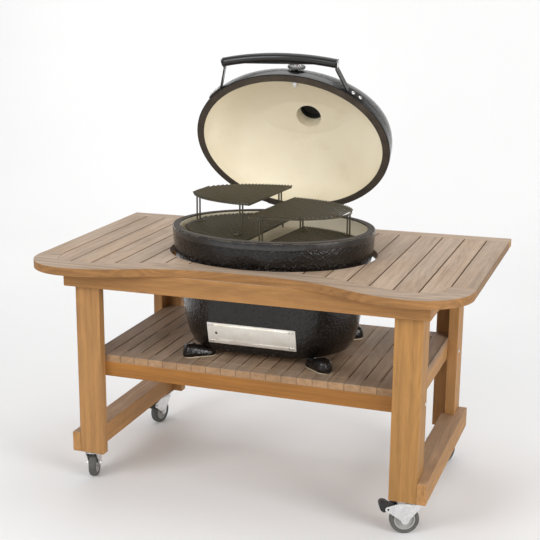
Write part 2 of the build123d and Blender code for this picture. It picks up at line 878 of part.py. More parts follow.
feet = []
for x_sign in (-1, 1):
    for y_sign in (-1, 1):
        feet.append(shoe_foot(x_sign, y_sign) - oval_solid(profile_levels, -joint_gap))
save(group(feet), "ceramic_feet")

# ---------------------------------------------------------------- hinge


def oval_y(x, half, half_width):
    """Half width of an oval at a distance from its short axis."""
    return half_width * math.sqrt(1 - (x / half) ** 2)


strap_seat = band_gap + band_thickness + joint_gap


def hinge_strap(low_z, height):
    """Curved strap that lies on a band at the back of the grill."""
    with BuildPart() as strap:
        with BuildSketch(Plane.XY.offset(low_z)):
            Ellipse(
                rim_half + strap_seat + hinge_strap_thickness,
                rim_half_width + strap_seat + hinge_strap_thickness,
            )
            Ellipse(rim_half + strap_seat, rim_half_width + strap_seat, mode=Mode.SUBTRACT)
            with Locations((0, rim_half_width)):
                Rectangle(hinge_strap_length, rim_half_width, mode=Mode.INTERSECT)
        extrude(amount=height)
    return strap.part


def hinge_root_y(x):
    """Middle of a strap's thickness at the outer face of a plate that stands on it."""
    middle = strap_seat + hinge_strap_thickness / 2
    return oval_y(x + hinge_plate_thickness / 2, rim_half + middle, rim_half_width + middle)


knuckle = knuckle_diameter / 2
base_strap_z = base_rim_z - base_strap_height
with BuildPart() as hinge_base_bracket:
    add(hinge_strap(base_strap_z, base_strap_height))
    ear_root_y = hinge_root_y(hinge_ear_x)
    for sign in (-1, 1):
        with BuildSketch(Plane.YZ.offset(sign * hinge_ear_x)):
            with BuildLine():
                Polyline(
                    (ear_root_y, hinge_z + knuckle),
                    (hinge_y, hinge_z + knuckle),
                    (hinge_y, hinge_z - knuckle),
                    (ear_root_y, hinge_z - knuckle),
                    close=True,
                )
            make_face()
            with Locations((hinge_y, hinge_z)):
                Circle(knuckle)
                Circle(hinge_pin_diameter / 2, mode=Mode.SUBTRACT)
        extrude(amount=hinge_plate_thickness / 2, both=True)
save(hinge_base_bracket.part, "hinge_base_bracket")

with BuildPart() as hinge_pin:
    with BuildSketch(Plane.YZ):
        with Locations((hinge_y, hinge_z)):
            Circle(hinge_pin_diameter / 2)
    extrude(amount=hinge_pin_length / 2, both=True)
    with BuildSketch(Plane.YZ.offset(hinge_pin_length / 2)):
        with Locations((hinge_y, hinge_z)):
            Circle(hinge_pin_head / 2)
    extrude(amount=hinge_pin_head_height)
save(hinge_pin.part, "hinge_pin")

springs = []
spring_radius = hinge_pin_diameter / 2 + spring_bore_gap + spring_wire / 2
spring_length = spring_turns * spring_pitch
for sign in (-1, 1):
    spring_start = sign * spring_middle_x - spring_length / 2
    with BuildPart() as spring:
        with BuildLine() as coil:
            Helix(
                spring_pitch,
                spring_length,
                spring_radius,
                center=(spring_start, hinge_y, hinge_z),
                direction=(1, 0, 0),
            )
        with BuildSketch(Plane(origin=coil.line @ 0, z_dir=coil.line % 0)):
            Circle(spring_wire / 2)
        sweep(path=coil.line, is_frenet=True)
    springs.append(spring.part)
save(group(springs), "hinge_springs")

# ---------------------------------------------------------------- cooking grates and racks


def d_grate(side, half, half_width, low_z):
    """Half-oval grate: a flat ring with rods laid across it, running front to back."""
    rod_z = low_z + ring_height - ring_sink + rod_diameter / 2
    with BuildPart() as grate:
        with BuildSketch(Plane.XY.offset(low_z)):
            Ellipse(half, half_width)
            Ellipse(half - ring_width, half_width - ring_width, mode=Mode.SUBTRACT)
            with Locations((side * ring_width / 2, 0)):
                Rectangle(ring_width, 2 * (half_width - ring_width / 2))
            with Locations((side * half / 2, 0)):
                Rectangle(half, 2 * half_width, mode=Mode.INTERSECT)
        extrude(amount=ring_height)
        for i in range(int((half - ring_width) / rod_pitch)):
            rod_x = ring_width / 2 + i * rod_pitch
            rod_reach = half_width * math.sqrt(1 - (rod_x / half) ** 2) + rod_overhang
            with BuildSketch(Plane.XZ):
                with Locations((side * rod_x, rod_z)):
                    Circle(rod_diameter / 2)
            extrude(amount=rod_reach, both=True)
    return grate.part


def rod_top(low_z):
    return low_z + ring_height - ring_sink + rod_diameter


def placed(shape, place):
    return shape.moved(Location((place[0], place[1], 0), (0, 0, place[2])))


def rack_leg(x, y, turn, low_z):
    """Bent wire leg: two uprights joined by a loop that lies flat as its foot."""
    spread = rack_leg_spread / 2
    foot_z = rack_leg_wire / 2
    wire_top_z = rack_leg_height + ring_height
    with BuildPart() as leg:
        with BuildLine() as wire:
            FilletPolyline(
                (0, -spread, wire_top_z),
                (0, -spread, foot_z),
                (rack_foot_length, -spread, foot_z),
                (rack_foot_length, spread, foot_z),
                (0, spread, foot_z),
                (0, spread, wire_top_z),
                radius=rack_foot_bend,
            )
        with BuildSketch(Plane(origin=(0, -spread, wire_top_z), z_dir=(0, 0, -1))):
            Circle(rack_leg_wire / 2)
        sweep(path=wire.line)
    return leg.part.moved(Location((x, y, low_z), (0, 0, turn)))


firebox_top_z = base_bottom_z + firebox_top
left_grate_z = firebox_top_z + grate_rise
with BuildPart() as main_grate_left:
    add(d_grate(-1, grate_half_length, grate_half_width, left_grate_z))
    for angle in (100, 150, 210, 260):
        leg_half = grate_half_length - ring_width / 2
        leg_half_width = grate_half_width - ring_width / 2
        leg_angle = math.radians(angle)
        with BuildSketch(Plane.XY.offset(firebox_top_z)):
            with Locations((leg_half * math.cos(leg_angle), leg_half_width * math.sin(leg_angle))):
                Circle(rack_leg_wire / 2)
        extrude(amount=grate_rise + ring_height / 2)
save(placed(main_grate_left.part, left_grate_place), "main_grate_left")

main_grate_right = d_grate(1, grate_half_length, grate_half_width, firebox_top_z)
save(placed(main_grate_right, right_grate_place), "main_grate_right")

for name, side, place, floor_z in (
    ("rack_left", -1, left_rack_place, rod_top(left_grate_z)),
    ("rack_right", 1, right_rack_place, rod_top(firebox_top_z)),
):
    end_y = rack_half_width - rack_leg_inset - rack_leg_spread / 2
    side_x = side * (rack_half_length - ring_width / 2)
    edge_x = side * (ring_width / 2 + rack_leg_rod * rod_pitch)
    with BuildPart() as rack:
        add(d_grate(side, rack_half_length, rack_half_width, floor_z + rack_leg_height))
        add(rack_leg(edge_x, -end_y, 90 - side * 90, floor_z))
        add(rack_leg(edge_x, end_y, 90 - side * 90, floor_z))
        add(rack_leg(side_x, 0, 90 + side * 90, floor_z))
    save(placed(rack.part, place), name)

# ---------------------------------------------------------------- lid


def dome_share(rise, power):
    """Share of the rim's size that the dome keeps at a share of its height."""
    return (1 - rise**power) ** (1 / power)


dome_rises = (0, 0.2, 0.4, 0.55, 0.7, 0.8, 0.88, 0.94, dome_crown)
dome_base_z = lid_rim_z + rim_straight
inner_half = rim_half - shell_wall
inner_half_width = rim_half_width - shell_wall


def dome_solid(half, half_width, height):
    """Dome on an upright rim, with a flat crown."""
    with BuildPart() as dome:
        with BuildSketch(Plane.XY.offset(lid_rim_z)):
            Ellipse(half, half_width)
        extrude(amount=rim_straight)
        for rise in dome_rises:
            with BuildSketch(Plane.XY.offset(dome_base_z + rise * height)):
                Ellipse(
                    half * dome_share(rise, dome_power_long),
                    half_width * dome_share(rise, dome_power_wide),
                )
        loft()
    return dome.part


dome_rise_height = dome_height - rim_straight
crown_z = dome_base_z + dome_crown * dome_rise_height
with BuildPart() as lid_shell:
    add(dome_solid(rim_half, rim_half_width, dome_rise_height))
    with BuildSketch(Plane.XY.offset(crown_z - shell_wall)):
        with Locations(chimney_place):
            Circle(chimney_neck_diameter / 2)
    extrude(amount=shell_wall + chimney_neck_height)
    add(dome_solid(inner_half, inner_half_width, dome_rise_height - shell_wall), mode=Mode.SUBTRACT)
    with BuildSketch(Plane.XY.offset(dome_base_z)):
        with Locations(chimney_place):
            Circle(chimney_diameter / 2)
    extrude(amount=dome_height + chimney_neck_height, mode=Mode.SUBTRACT)

lid_band = ring_solid(band_half, band_half_width, band_thickness, lid_rim_z, band_height)

# Handle: bowed grip between two flat straps bolted through the band
grip_y = -rim_half_width - handle_reach
grip_z = lid_rim_z + handle_lift
with BuildPart() as handle_grip:
    with BuildLine() as grip_line:
        ThreePointArc(
            (-handle_length / 2, grip_y, grip_z),
            (0, grip_y - handle_bow, grip_z),
            (handle_length / 2, grip_y, grip_z),
        )
    with BuildSketch(Plane(origin=grip_line.line @ 0, z_dir=grip_line.line % 0)):
        Circle(handle_diameter / 2)
    sweep(path=grip_line.line)

grip_end_dir = grip_line.line % 1
end_face = Plane(origin=grip_line.line @ 1, x_dir=(-grip_end_dir.Y, grip_end_dir.X, 0), z_dir=grip_end_dir)


def rim_point(angle, out):
    """Point outside the rim's oval, at a parameter angle from its long axis."""
    turn = math.radians(angle)
    return ((rim_half + out) * math.cos(turn), (rim_half_width + out) * math.sin(turn))


foot_start, foot_end = strap_foot_angles
foot_middle = strap_seat + strap_thickness / 2
strap_low_z = grip_z - strap_width / 2
end_back = end_face.from_local_coords((strap_end_back, 0, joint_gap + strap_thickness / 2))
end_front = end_face.from_local_coords((-strap_end_front, 0, joint_gap + strap_thickness / 2))
with BuildPart() as right_strap:
    with BuildSketch(Plane.XY.offset(strap_low_z)):
        with BuildLine():
            Polyline(
                (end_front.X, end_front.Y),
                (end_back.X, end_back.Y),
                rim_point(foot_start, foot_middle),
            )
            ThreePointArc(
                rim_point(foot_start, foot_middle),
                rim_point((foot_start + foot_end) / 2, foot_middle),
                rim_point(foot_end, foot_middle),
            )
        trace(line_width=strap_thickness)
    extrude(amount=strap_width)

strap_bolts = []
for angle in strap_bolt_angles:
    seat_x, seat_y = rim_point(angle, strap_seat + strap_thickness)
    normal = (seat_x / rim_half**2, seat_y / rim_half_width**2, 0)
    strap_bolts.append(
        button_bolt(
            Plane(origin=(seat_x, seat_y, lid_rim_z + band_height / 2), z_dir=normal),
            bolt_head,
            bolt_head_height,
            bolt_diameter,
            strap_bolt_length,
        )
    )
strap_screws = strap_bolts + [mirror(bolt, about=Plane.YZ) for bolt in strap_bolts]
cap_seat = end_face.offset(joint_gap + strap_thickness)
right_cap = button_bolt(
    cap_seat,
    handle_cap_diameter,
    handle_cap_thickness,
    bolt_diameter,
    handle_stud_length,
)
end_caps = [right_cap, mirror(right_cap, about=Plane.YZ)]
strap_piece = drilled(right_strap.part, strap_bolts + [right_cap])
save_lid(group([strap_piece, mirror(strap_piece, about=Plane.YZ)]), "handle_brackets")
save_lid(drilled(handle_grip.part, end_caps), "handle_grip")
save_lid(group(strap_screws + end_caps), "lid_bolts")
save_lid(drilled(lid_band, strap_screws), "lid_band")
save_lid(
    ring_solid(
        gasket_half,
        gasket_half_width,
        gasket_width,
        lid_rim_z - gasket_thickness,
        gasket_thickness,
    ),
    "lid_gasket",
)

with BuildPart() as hinge_lid_bracket:
    add(hinge_strap(lid_rim_z, band_height))
    arm_root_y = hinge_root_y(hinge_arm_x)
    for sign in (-1, 1):
        with BuildSketch(Plane.YZ.offset(sign * hinge_arm_x)):
            with BuildLine():
                Polyline(
                    (arm_root_y, lid_rim_z + band_height),
                    (hinge_y + knuckle, hinge_z),
                    (hinge_y - knuckle, hinge_z),
                    (hinge_y - knuckle, base_rim_z),
                    (arm_root_y, lid_rim_z),
                    close=True,
                )
            make_face()
            with Locations((hinge_y, hinge_z)):
                Circle(knuckle)
                Circle(hinge_pin_diameter / 2 + shaft_gap, mode=Mode.SUBTRACT)
        extrude(amount=hinge_plate_thickness / 2, both=True)
save_lid(hinge_lid_bracket.part, "hinge_lid_bracket")

# Thermometer: dial on the slope of the dome, its stem through the wall
dial_rise = (thermometer_lift - rim_straight) / dome_rise_height
wall_half = rim_half * dome_share(dial_rise, dome_power_long)
wall_half_width = rim_half_width * dome_share(dial_rise, dome_power_wide)
wall_y = -oval_y(thermometer_x, wall_half, wall_half_width)
dial_turn = math.atan2(wall_y / wall_half_width**2, thermometer_x / wall_half**2)
dial_lean = math.radians(thermometer_tilt)
dial_seat = Plane(
    origin=(thermometer_x, wall_y, lid_rim_z + thermometer_lift),
    x_dir=(-math.sin(dial_turn), math.cos(dial_turn), 0),
    z_dir=(
        math.cos(dial_turn) * math.cos(dial_lean),
        math.sin(dial_turn) * math.cos(dial_lean),
        math.sin(dial_lean),
    ),
)
dial_back = dial_seat.offset(dial_gap)
dial_face = dial_back.offset(dial_depth - dial_recess)
with BuildPart() as stem:
    with BuildSketch(dial_back):
        Circle(stem_diameter / 2)
    extrude(amount=-stem_length)
lid_ceramic = lid_shell.part - stem.part

with BuildPart() as thermometer_case:
    with BuildSketch(dial_back):
        Circle(dial_diameter / 2)
    extrude(amount=dial_depth)
    with BuildSketch(dial_face):
        Circle(dial_diameter / 2 - dial_rim)
    extrude(amount=dial_recess, mode=Mode.SUBTRACT)
    with BuildSketch(dial_face):
        Circle(needle_pin_diameter / 2)
    extrude(amount=needle_lift + needle_thickness)
    add(stem.part)
with BuildPart() as neck:
    with BuildSketch(dial_back):
        RegularPolygon(neck_nut / 2, 6)
        Circle(stem_diameter / 2 + shaft_gap, mode=Mode.SUBTRACT)
    extrude(amount=-shell_wall / 2)
    add(lid_ceramic, mode=Mode.SUBTRACT)
with BuildPart() as nut:
    with BuildSketch(dial_seat.offset(-shell_wall / 2)):
        RegularPolygon(stem_nut / 2, 6)
        Circle(stem_diameter / 2 + shaft_gap, mode=Mode.SUBTRACT)
    extrude(amount=-(shell_wall / 2 + stem_nut_length))
    add(lid_ceramic, mode=Mode.SUBTRACT)
with BuildPart() as dial_lens:
    with BuildSketch(dial_back.offset(dial_depth - lens_thickness)):
        Circle(dial_diameter / 2 - dial_rim)
    extrude(amount=lens_thickness)
save_lid(
    group([thermometer_case.part, dial_lens.part, neck.part, nut.part]),
    "thermometer_case",
)

with BuildPart() as thermometer_needle:
    with BuildSketch(dial_face.offset(needle_lift)):
        Circle(needle_hub / 2)
        with Locations((0, needle_length / 2)):
            Rectangle(needle_width, needle_length)
        Circle(needle_pin_diameter / 2 + shaft_gap, mode=Mode.SUBTRACT)
    extrude(amount=needle_thickness)
save_lid(thermometer_needle.part, "thermometer_needle")

# Vent: iron collar on the chimney's neck, with a round cap that swings aside on a bolt
neck_top_z = crown_z + chimney_neck_height
collar_top_z = neck_top_z + vent_collar_height
cap_under_z = collar_top_z + vent_gap
cap_top_z = cap_under_z + vent_cap_thickness
pivot_spot = (vent_pivot_radius, 0)
sleeve_radius = chimney_diameter / 2 - vent_sleeve_gap
with BuildPart() as vent_base:
    with BuildSketch(Plane.XY.offset(neck_top_z)):
        Circle(vent_collar_diameter / 2)
    extrude(amount=vent_collar_height)
    collar_rim = vent_base.edges().group_by(Axis.Z)[-1]
    chamfer(collar_rim, vent_collar_height / 4)
    with BuildSketch(Plane.XY.offset(neck_top_z - vent_sleeve_length)):
        Circle(sleeve_radius)
    extrude(amount=vent_sleeve_length)
    with BuildSketch(Plane.XY.offset(neck_top_z - vent_sleeve_length)):
        Circle(sleeve_radius - vent_sleeve_wall)
    extrude(amount=vent_sleeve_length + vent_collar_height, mode=Mode.SUBTRACT)
    with BuildSketch(Plane.XY.offset(collar_top_z)):
        with Locations(pivot_spot):
            Circle(vent_bolt_diameter / 2)
    extrude(amount=vent_cap_thickness + 2 * vent_gap)
    with BuildSketch(Plane.XY.offset(cap_top_z + vent_gap)):
        with Locations(pivot_spot):
            RegularPolygon(vent_bolt_head / 2, 6)
    extrude(amount=vent_bolt_head_height)
vent_place = Location((*chimney_place, 0))
save_lid(vent_base.part.moved(vent_place), "vent_base")

with BuildPart() as vent_cap:
    with BuildSketch(Plane.XY.offset(cap_under_z)):
        Circle(vent_cap_diameter / 2)
        with Locations(pivot_spot):
            Circle(vent_pivot_boss / 2)
            Circle(vent_bolt_diameter / 2 + shaft_gap, mode=Mode.SUBTRACT)
    extrude(amount=vent_cap_thickness)
    with BuildSketch(Plane.XY.offset(cap_top_z)):
        with Locations((-vent_cap_diameter / 4, 0)):
            Circle(vent_knob_diameter / 2)
    extrude(amount=vent_knob_height, taper=4)
save_lid(vent_cap.part.moved(vent_place), "vent_cap")

save_lid(drilled(lid_ceramic, strap_screws), "lid_shell")
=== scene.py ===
import math

import bmesh
import bpy
from mathutils import Matrix, Vector


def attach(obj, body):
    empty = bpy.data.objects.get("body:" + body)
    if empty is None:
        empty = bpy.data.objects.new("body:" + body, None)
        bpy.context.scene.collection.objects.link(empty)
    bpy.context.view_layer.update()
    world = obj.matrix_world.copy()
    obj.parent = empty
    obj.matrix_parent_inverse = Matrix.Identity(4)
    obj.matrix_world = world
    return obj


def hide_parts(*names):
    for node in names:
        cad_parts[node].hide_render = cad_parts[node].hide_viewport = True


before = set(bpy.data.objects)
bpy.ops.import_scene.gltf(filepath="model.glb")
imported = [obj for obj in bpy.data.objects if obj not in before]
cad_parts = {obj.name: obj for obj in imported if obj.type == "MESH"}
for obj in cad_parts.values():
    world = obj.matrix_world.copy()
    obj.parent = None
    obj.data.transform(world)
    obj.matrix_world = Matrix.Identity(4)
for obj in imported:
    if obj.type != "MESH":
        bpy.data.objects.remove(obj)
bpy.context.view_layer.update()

# ---------------------------------------------------------------- camera
# Stands to the right of the table's front and looks down on the open grill,
# a long lens with its frame shifted up and to the right.
camera_place = Vector((1.3034, -3.9099, 1.8039))
camera_yaw = 0.4033
camera_pitch = 0.2546
camera_roll = -0.0114

ahead = Vector((
    -math.sin(camera_yaw) * math.cos(camera_pitch),
    math.cos(camera_yaw) * math.cos(camera_pitch),
    -math.sin(camera_pitch),
))
level_right = Vector((math.cos(camera_yaw), math.sin(camera_yaw), 0))
level_up = level_right.cross(ahead)
right = level_right * math.cos(camera_roll) + level_up * math.sin(camera_roll)
up = level_up * math.cos(camera_roll) - level_right * math.sin(camera_roll)

lens = bpy.data.cameras.new("studio_camera")
lens.sensor_width = 36
lens.lens = 77.59
lens.shift_x = 0.1667
lens.shift_y = 0.0311
lens.clip_end = 60
camera = bpy.data.objects.new("studio_camera", lens)
camera.matrix_world = Matrix((right, up, -ahead)).transposed().to_4x4()
camera.matrix_world.translation = camera_place
bpy.context.scene.collection.objects.link(camera)
bpy.context.scene.camera = camera

# ---------------------------------------------------------------- studio
# A pale seamless floor that sweeps up behind the table, lit by soft banks from the
# front, above and the right, and two on the wall.  It isn't part of the object.


def finish(name, inputs):
    """New material with constants set on its shader's sockets."""
    material = bpy.data.materials.new(name)
    material.use_nodes = True
    shader = material.node_tree.nodes["Principled BSDF"]
    for key, value in inputs.items():
        shader.inputs[key].default_value = value
    return material


def put(material, kind, inputs, **settings):
    """Adds a node and fills its sockets with numbers or with other nodes' outputs."""
    made = material.node_tree.nodes.new("ShaderNode" + kind)
    for key, value in settings.items():
        setattr(made, key, value)
    for key, value in inputs.items():
        if isinstance(value, bpy.types.NodeSocket):
            material.node_tree.links.new(value, made.inputs[key])
        else:
            made.inputs[key].default_value = value
    return made


def drive(material, socket, value):
    """Links a node's output to one of the shader's sockets."""
    shader = material.node_tree.nodes["Principled BSDF"]
    material.node_tree.links.new(value, shader.inputs[socket])


def noise(material, coords, scale, detail=2.0, roughness=0.5, distortion=0.0):
    """Cloudy pattern from 0 to 1."""
    inputs = {
        "Vector": coords,
        "Scale": scale,
        "Detail": detail,
        "Roughness": roughness,
        "Distortion": distortion,
    }
    return put(material, "TexNoise", inputs).outputs["Fac"]


def ramp(material, factor, dark, light, low=0.3, high=0.7):
    """Runs from a dark colour to a light one as the factor goes from low to high."""
    made = put(material, "ValToRGB", {"Fac": factor})
    for element, place, colour in zip(made.color_ramp.elements, (low, high), (dark, light)):
        element.position = place
        element.color = (*colour, 1)
    return made.outputs["Color"]


def tint(material, factor, dark, light, low=0.3, high=0.7):
    """Colours the surface with such a run of colour."""
    drive(material, "Base Color", ramp(material, factor, dark, light, low, high))


def spread(material, factor, low, high, to_low=0.0, to_high=1.0):
    """Rescales a value's range and clamps it."""
    inputs = {
        "Value": factor,
        "From Min": low,
        "From Max": high,
        "To Min": to_low,
        "To Max": to_high,
    }
    return put(material, "MapRange", inputs).outputs["Result"]


def reckon(material, operation, first, second=0.0):
    """Sum, product or other arithmetic on two values."""
    return put(material, "Math", {0: first, 1: second}, operation=operation).outputs[0]


def blend_colours(material, factor, first, second):
    """Mixes two colours, each given as numbers or as another node's output."""
    colours = [c if isinstance(c, bpy.types.NodeSocket) else (*c, 1) for c in (first, second)]
    inputs = {0: factor, 6: colours[0], 7: colours[1]}
    return put(material, "Mix", inputs, data_type="RGBA").outputs[2]


def bump(material, height, distance, strength):
    """Normals for a relief of the given height in metres."""
    inputs = {"Height": height, "Distance": distance, "Strength": strength}
    return put(material, "Bump", inputs).outputs["Normal"]


def place_coords(material, scale=(1, 1, 1)):
    """Object coordinates in metres, stretched along the axes."""
    here = put(material, "TexCoord", {}).outputs["Object"]
    return put(material, "Mapping", {"Vector": here, "Scale": scale}).outputs[0]


def mesh_object(name, points, faces, material, smooth=True):
    """New object from points and faces, smooth-shaded unless told otherwise."""
    mesh = bpy.data.meshes.new(name)
    mesh.from_pydata(points, [], faces)
    mesh.materials.append(material)
    for polygon in mesh.polygons:
        polygon.use_smooth = smooth
    made = bpy.data.objects.new(name, mesh)
    bpy.context.scene.collection.objects.link(made)
    return made


def face_outwards(piece):
    """Turns every face of a closed mesh to look out of it."""
    form = bmesh.new()
    form.from_mesh(piece.data)
    bmesh.ops.recalc_face_normals(form, faces=form.faces)
    form.to_mesh(piece.data)
    form.free()


studio_paper = finish("studio_paper", {"Roughness": 0.9, "Specular IOR Level": 0.1})
paper_tone = noise(studio_paper, place_coords(studio_paper), 0.6, 1.0)
tint(studio_paper, paper_tone, (0.86, 0.855, 0.85), (0.89, 0.885, 0.88))

floor_reach = 7.0
sweep_start = 3.2
sweep_radius = 2.2
sweep_top = 6.0
sweep_steps = 12
sweep_line = [(-floor_reach, 0.0), (sweep_start, 0.0)]
for i in range(1, sweep_steps + 1):
    turn = math.radians(90 * i / sweep_steps)
    sweep_line.append((sweep_start + sweep_radius * math.sin(turn), sweep_radius * (1 - math.cos(turn))))
sweep_line.append((sweep_start + sweep_radius, sweep_top))
sweep_points = [(x, y, z) for y, z in sweep_line for x in (-floor_reach, floor_reach)]
sweep_faces = [(2 * i, 2 * i + 1, 2 * i + 3, 2 * i + 2) for i in range(len(sweep_line) - 1)]
floor = mesh_object("studio_floor", sweep_points, sweep_faces, studio_paper)


def soft_light(name, place, aim, size, power):
    """Square soft box that faces a point."""
    lamp = bpy.data.lights.new(name, "AREA")
    lamp.size = size
    lamp.energy = power
    made = bpy.data.objects.new(name, lamp)
    made.location = place
    made.rotation_euler = (Vector(aim) - Vector(place)).to_track_quat("-Z", "Y").to_euler()
    bpy.context.scene.collection.objects.link(made)


soft_light("key_bank", (-2.6, -4.4, 2.9), (0, 0, 0.9), size=2.4, power=112)
soft_light("top_bank", (-0.4, 0.9, 4.4), (0, 0, 0.6), size=3.2, power=60)
soft_light("right_bank", (4.1, -2.0, 1.9), (0, 0, 0.8), size=2.0, power=110)
soft_light("front_bank", (0.5, -4.6, 2.6), (0.2, -1.4, 0.0), size=2.0, power=42)
soft_light("back_left_bank", (-3.4, 2.2, 4.6), (-4.6, 5.4, 2.2), size=2.6, power=95)
soft_light("back_right_bank", (2.0, 2.2, 4.6), (2.0, 5.4, 2.6), size=2.6, power=52)

world = bpy.data.worlds.new("studio_world")
world.use_nodes = True
world.node_tree.nodes["Background"].inputs["Color"].default_value = (0.97, 0.98, 1.0, 1)
world.node_tree.nodes["Background"].inputs["Strength"].default_value = 0.40
bpy.context.scene.world = world
bpy.context.scene.view_settings.view_transform = "Standard"

# ---------------------------------------------------------------- table top
# Sawn teak boards: planks across, a wide board cut to a wavy line in front and
# a straight one behind.  Oiled once, and gone pale and pinkish in the weather.

honey_teak = (0.40, 0.205, 0.072)
bleached_teak = (0.45, 0.335, 0.242)
pore_brown = (0.130, 0.065, 0.030)


def timber(name, grain, seed, boards, side_bleach, top_bleach, tone=1.0, flame=0.25, oil=honey_teak):
    """Oiled teak with its grain along one axis, bleached by the weather where it looks up.

    boards is (axis, start, pitch) where one node holds a row of boards, which then
    differ from each other, and None for a single board.
    """
    wood = finish(name, {"Specular IOR Level": 0.3})
    here = put(wood, "TexCoord", {})
    seed_shift = (seed, seed * 0.7, seed * 1.3)
    start = put(wood, "VectorMath", {0: here.outputs["Object"], 1: seed_shift}).outputs[0]
    if boards:
        axis, first, pitch = boards
        split = put(wood, "SeparateXYZ", {0: here.outputs["Object"]}).outputs[axis]
        across = reckon(wood, "DIVIDE", reckon(wood, "SUBTRACT", split, first), pitch)
        count = reckon(wood, "FLOOR", across)
        chance = put(wood, "TexWhiteNoise", {"W": count}, noise_dimensions="1D")
        jump = put(wood, "VectorMath", {0: chance.outputs["Color"], "Scale": 9.0}, operation="SCALE")
        start = put(wood, "VectorMath", {0: start, 1: jump.outputs[0]}).outputs[0]

    def along(length_scale, width_scale):
        """Coordinates drawn out along the grain."""
        stretch = [width_scale] * 3
        stretch["XYZ".index(grain)] = length_scale
        return put(wood, "Mapping", {"Vector": start, "Scale": stretch}).outputs[0]

    # Growth rings cut lengthways show as long flames, and vessels as fine dashes
    figure = noise(wood, along(0.8, 8.0), 1.0, 1.5, 0.4, 0.2)
    rings = spread(wood, reckon(wood, "SINE", reckon(wood, "MULTIPLY", figure, 120.0)), -1.0, 1.0)
    streaks = noise(wood, along(1.1, 55.0), 1.0, 4.0, 0.6)
    fibres = noise(wood, along(16.0, 620.0), 1.0, 3.0, 0.6)
    vessels = spread(wood, noise(wood, along(26.0, 900.0), 1.0, 2.0, 0.5), 0.40, 0.30)
    cloud = noise(wood, along(2.2, 7.0), 1.0, 4.0, 0.6)

    tone_share = reckon(wood, "MULTIPLY", streaks, 0.55)
    tone_share = reckon(wood, "ADD", tone_share, reckon(wood, "MULTIPLY", fibres, 0.30))
    tone_share = reckon(wood, "ADD", tone_share, reckon(wood, "MULTIPLY", cloud, 0.30))
    tone_share = reckon(wood, "ADD", tone_share, reckon(wood, "MULTIPLY", rings, 0.25 * flame))
    brightness = spread(wood, tone_share, 0.36, 0.82, 0.62 * tone, 1.32 * tone)
    if boards:
        board_tone = spread(wood, chance.outputs["Value"], 0.0, 1.0, 0.92, 1.08)
        brightness = reckon(wood, "MULTIPLY", brightness, board_tone)
        # Painted shade: each board darkens towards its edges, along the joints between boards
        off_middle = reckon(wood, "ABSOLUTE", reckon(wood, "SUBTRACT", reckon(wood, "FRACT", across), 0.5))
        joint_painted_shade = spread(wood, off_middle, 0.455, 0.485, 1.0, 0.55)
        brightness = reckon(wood, "MULTIPLY", brightness, joint_painted_shade)

    # Weather bleaches it, above all on faces that look up
    upward = put(wood, "SeparateXYZ", {0: here.outputs["Normal"]}).outputs["Z"]
    sun = spread(wood, upward, 0.3, 0.95, side_bleach, top_bleach)
    sun = reckon(wood, "MULTIPLY", sun, spread(wood, cloud, 0.3, 0.6, 0.8, 1.1))
    colour = blend_colours(wood, sun, oil, bleached_teak)
    colour = put(wood, "VectorMath", {0: colour, "Scale": brightness}, operation="SCALE").outputs[0]
    colour = blend_colours(wood, reckon(wood, "MULTIPLY", vessels, 0.35), colour, pore_brown)

    # Small knots, and dark streaks that run with the grain
    cells = {"Vector": along(1.4, 5.0), "Scale": 1.0, "Randomness": 1.0}
    knot = put(wood, "TexVoronoi", cells).outputs["Distance"]
    colour = blend_colours(wood, spread(wood, knot, 0.06, 0.015, 0.0, 0.55), colour, pore_brown)
    dark_streak = spread(wood, noise(wood, along(1.6, 34.0), 1.0, 3.0, 0.65), 0.64, 0.76, 0.0, 0.42)
    colour = blend_colours(wood, dark_streak, colour, pore_brown)
    drive(wood, "Base Color", colour)
    drive(wood, "Roughness", spread(wood, fibres, 0.2, 0.8, 0.68, 0.48))
    relief = reckon(wood, "ADD", fibres, reckon(wood, "MULTIPLY", vessels, -0.6))
    drive(wood, "Normal", bump(wood, relief, 0.0005, 0.5))
    return wood


def dress(material, *names):
    """Gives CAD nodes a finish."""
    for name in names:
        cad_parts[name].material_slots[0].material = material


table_length = 1.550
plank_count = 19
plank_gap = 0.003
plank_row = ("X", -(table_length + plank_gap) / 2, (table_length + plank_gap) / plank_count)
front_board_oil = (0.32, 0.155, 0.051)
top_bleach = 0.95
dress(timber("teak_planks", "Y", 2.3, plank_row, 0.2, top_bleach), "top_planks")
dress(timber(
    "teak_front_board", "X", 5.1, None, 0.0, top_bleach, tone=0.85, flame=0.6, oil=front_board_oil,
), "top_front_board")
dress(timber("teak_back_board", "X", 8.7, None, 0.1, top_bleach), "top_back_board")

# ---------------------------------------------------------------- table frame
# Aprons, L-shaped legs of two boards each, and heavy bottom rails, all planed
# teak.  They stand upright or under the top, so they keep more of their honey colour.

frame_boards = {
    "apron_front": ("X", 11.2),
    "apron_back": ("X", 12.9),
    "apron_left": ("Y", 14.4),
    "apron_right": ("Y", 15.8),
    "leg_front_left": ("Z", 17.5),
    "leg_front_right": ("Z", 19.6),
    "leg_back_left": ("Z", 21.3),
    "leg_back_right": ("Z", 23.7),
    "bottom_rail_left": ("Y", 26.2),
    "bottom_rail_right": ("Y", 28.8),
    "shelf_front_rail": ("X", 31.1),
    "shelf_back_rail": ("X", 33.5),
    "shelf_left_rail": ("Y", 35.7),
    "shelf_right_rail": ("Y", 37.4),
    "shelf_middle_rail": ("X", 39.8),
}
# Painted shade: darker copies of the honey teak for the front apron, the front right leg and the shelf's
# front rail, which sit in shade
shade_darkened_oils = {
    "shelf_front_rail": (0.30, 0.125, 0.025),
    "apron_front": (0.33, 0.162, 0.052),
    "leg_front_right": (0.355, 0.180, 0.055),
}
for board_name, (grain, seed) in frame_boards.items():
    oil = shade_darkened_oils.get(board_name, honey_teak)
    dress(timber("teak_" + board_name, grain, seed, None, 0.0, 0.5, oil=oil), board_name)

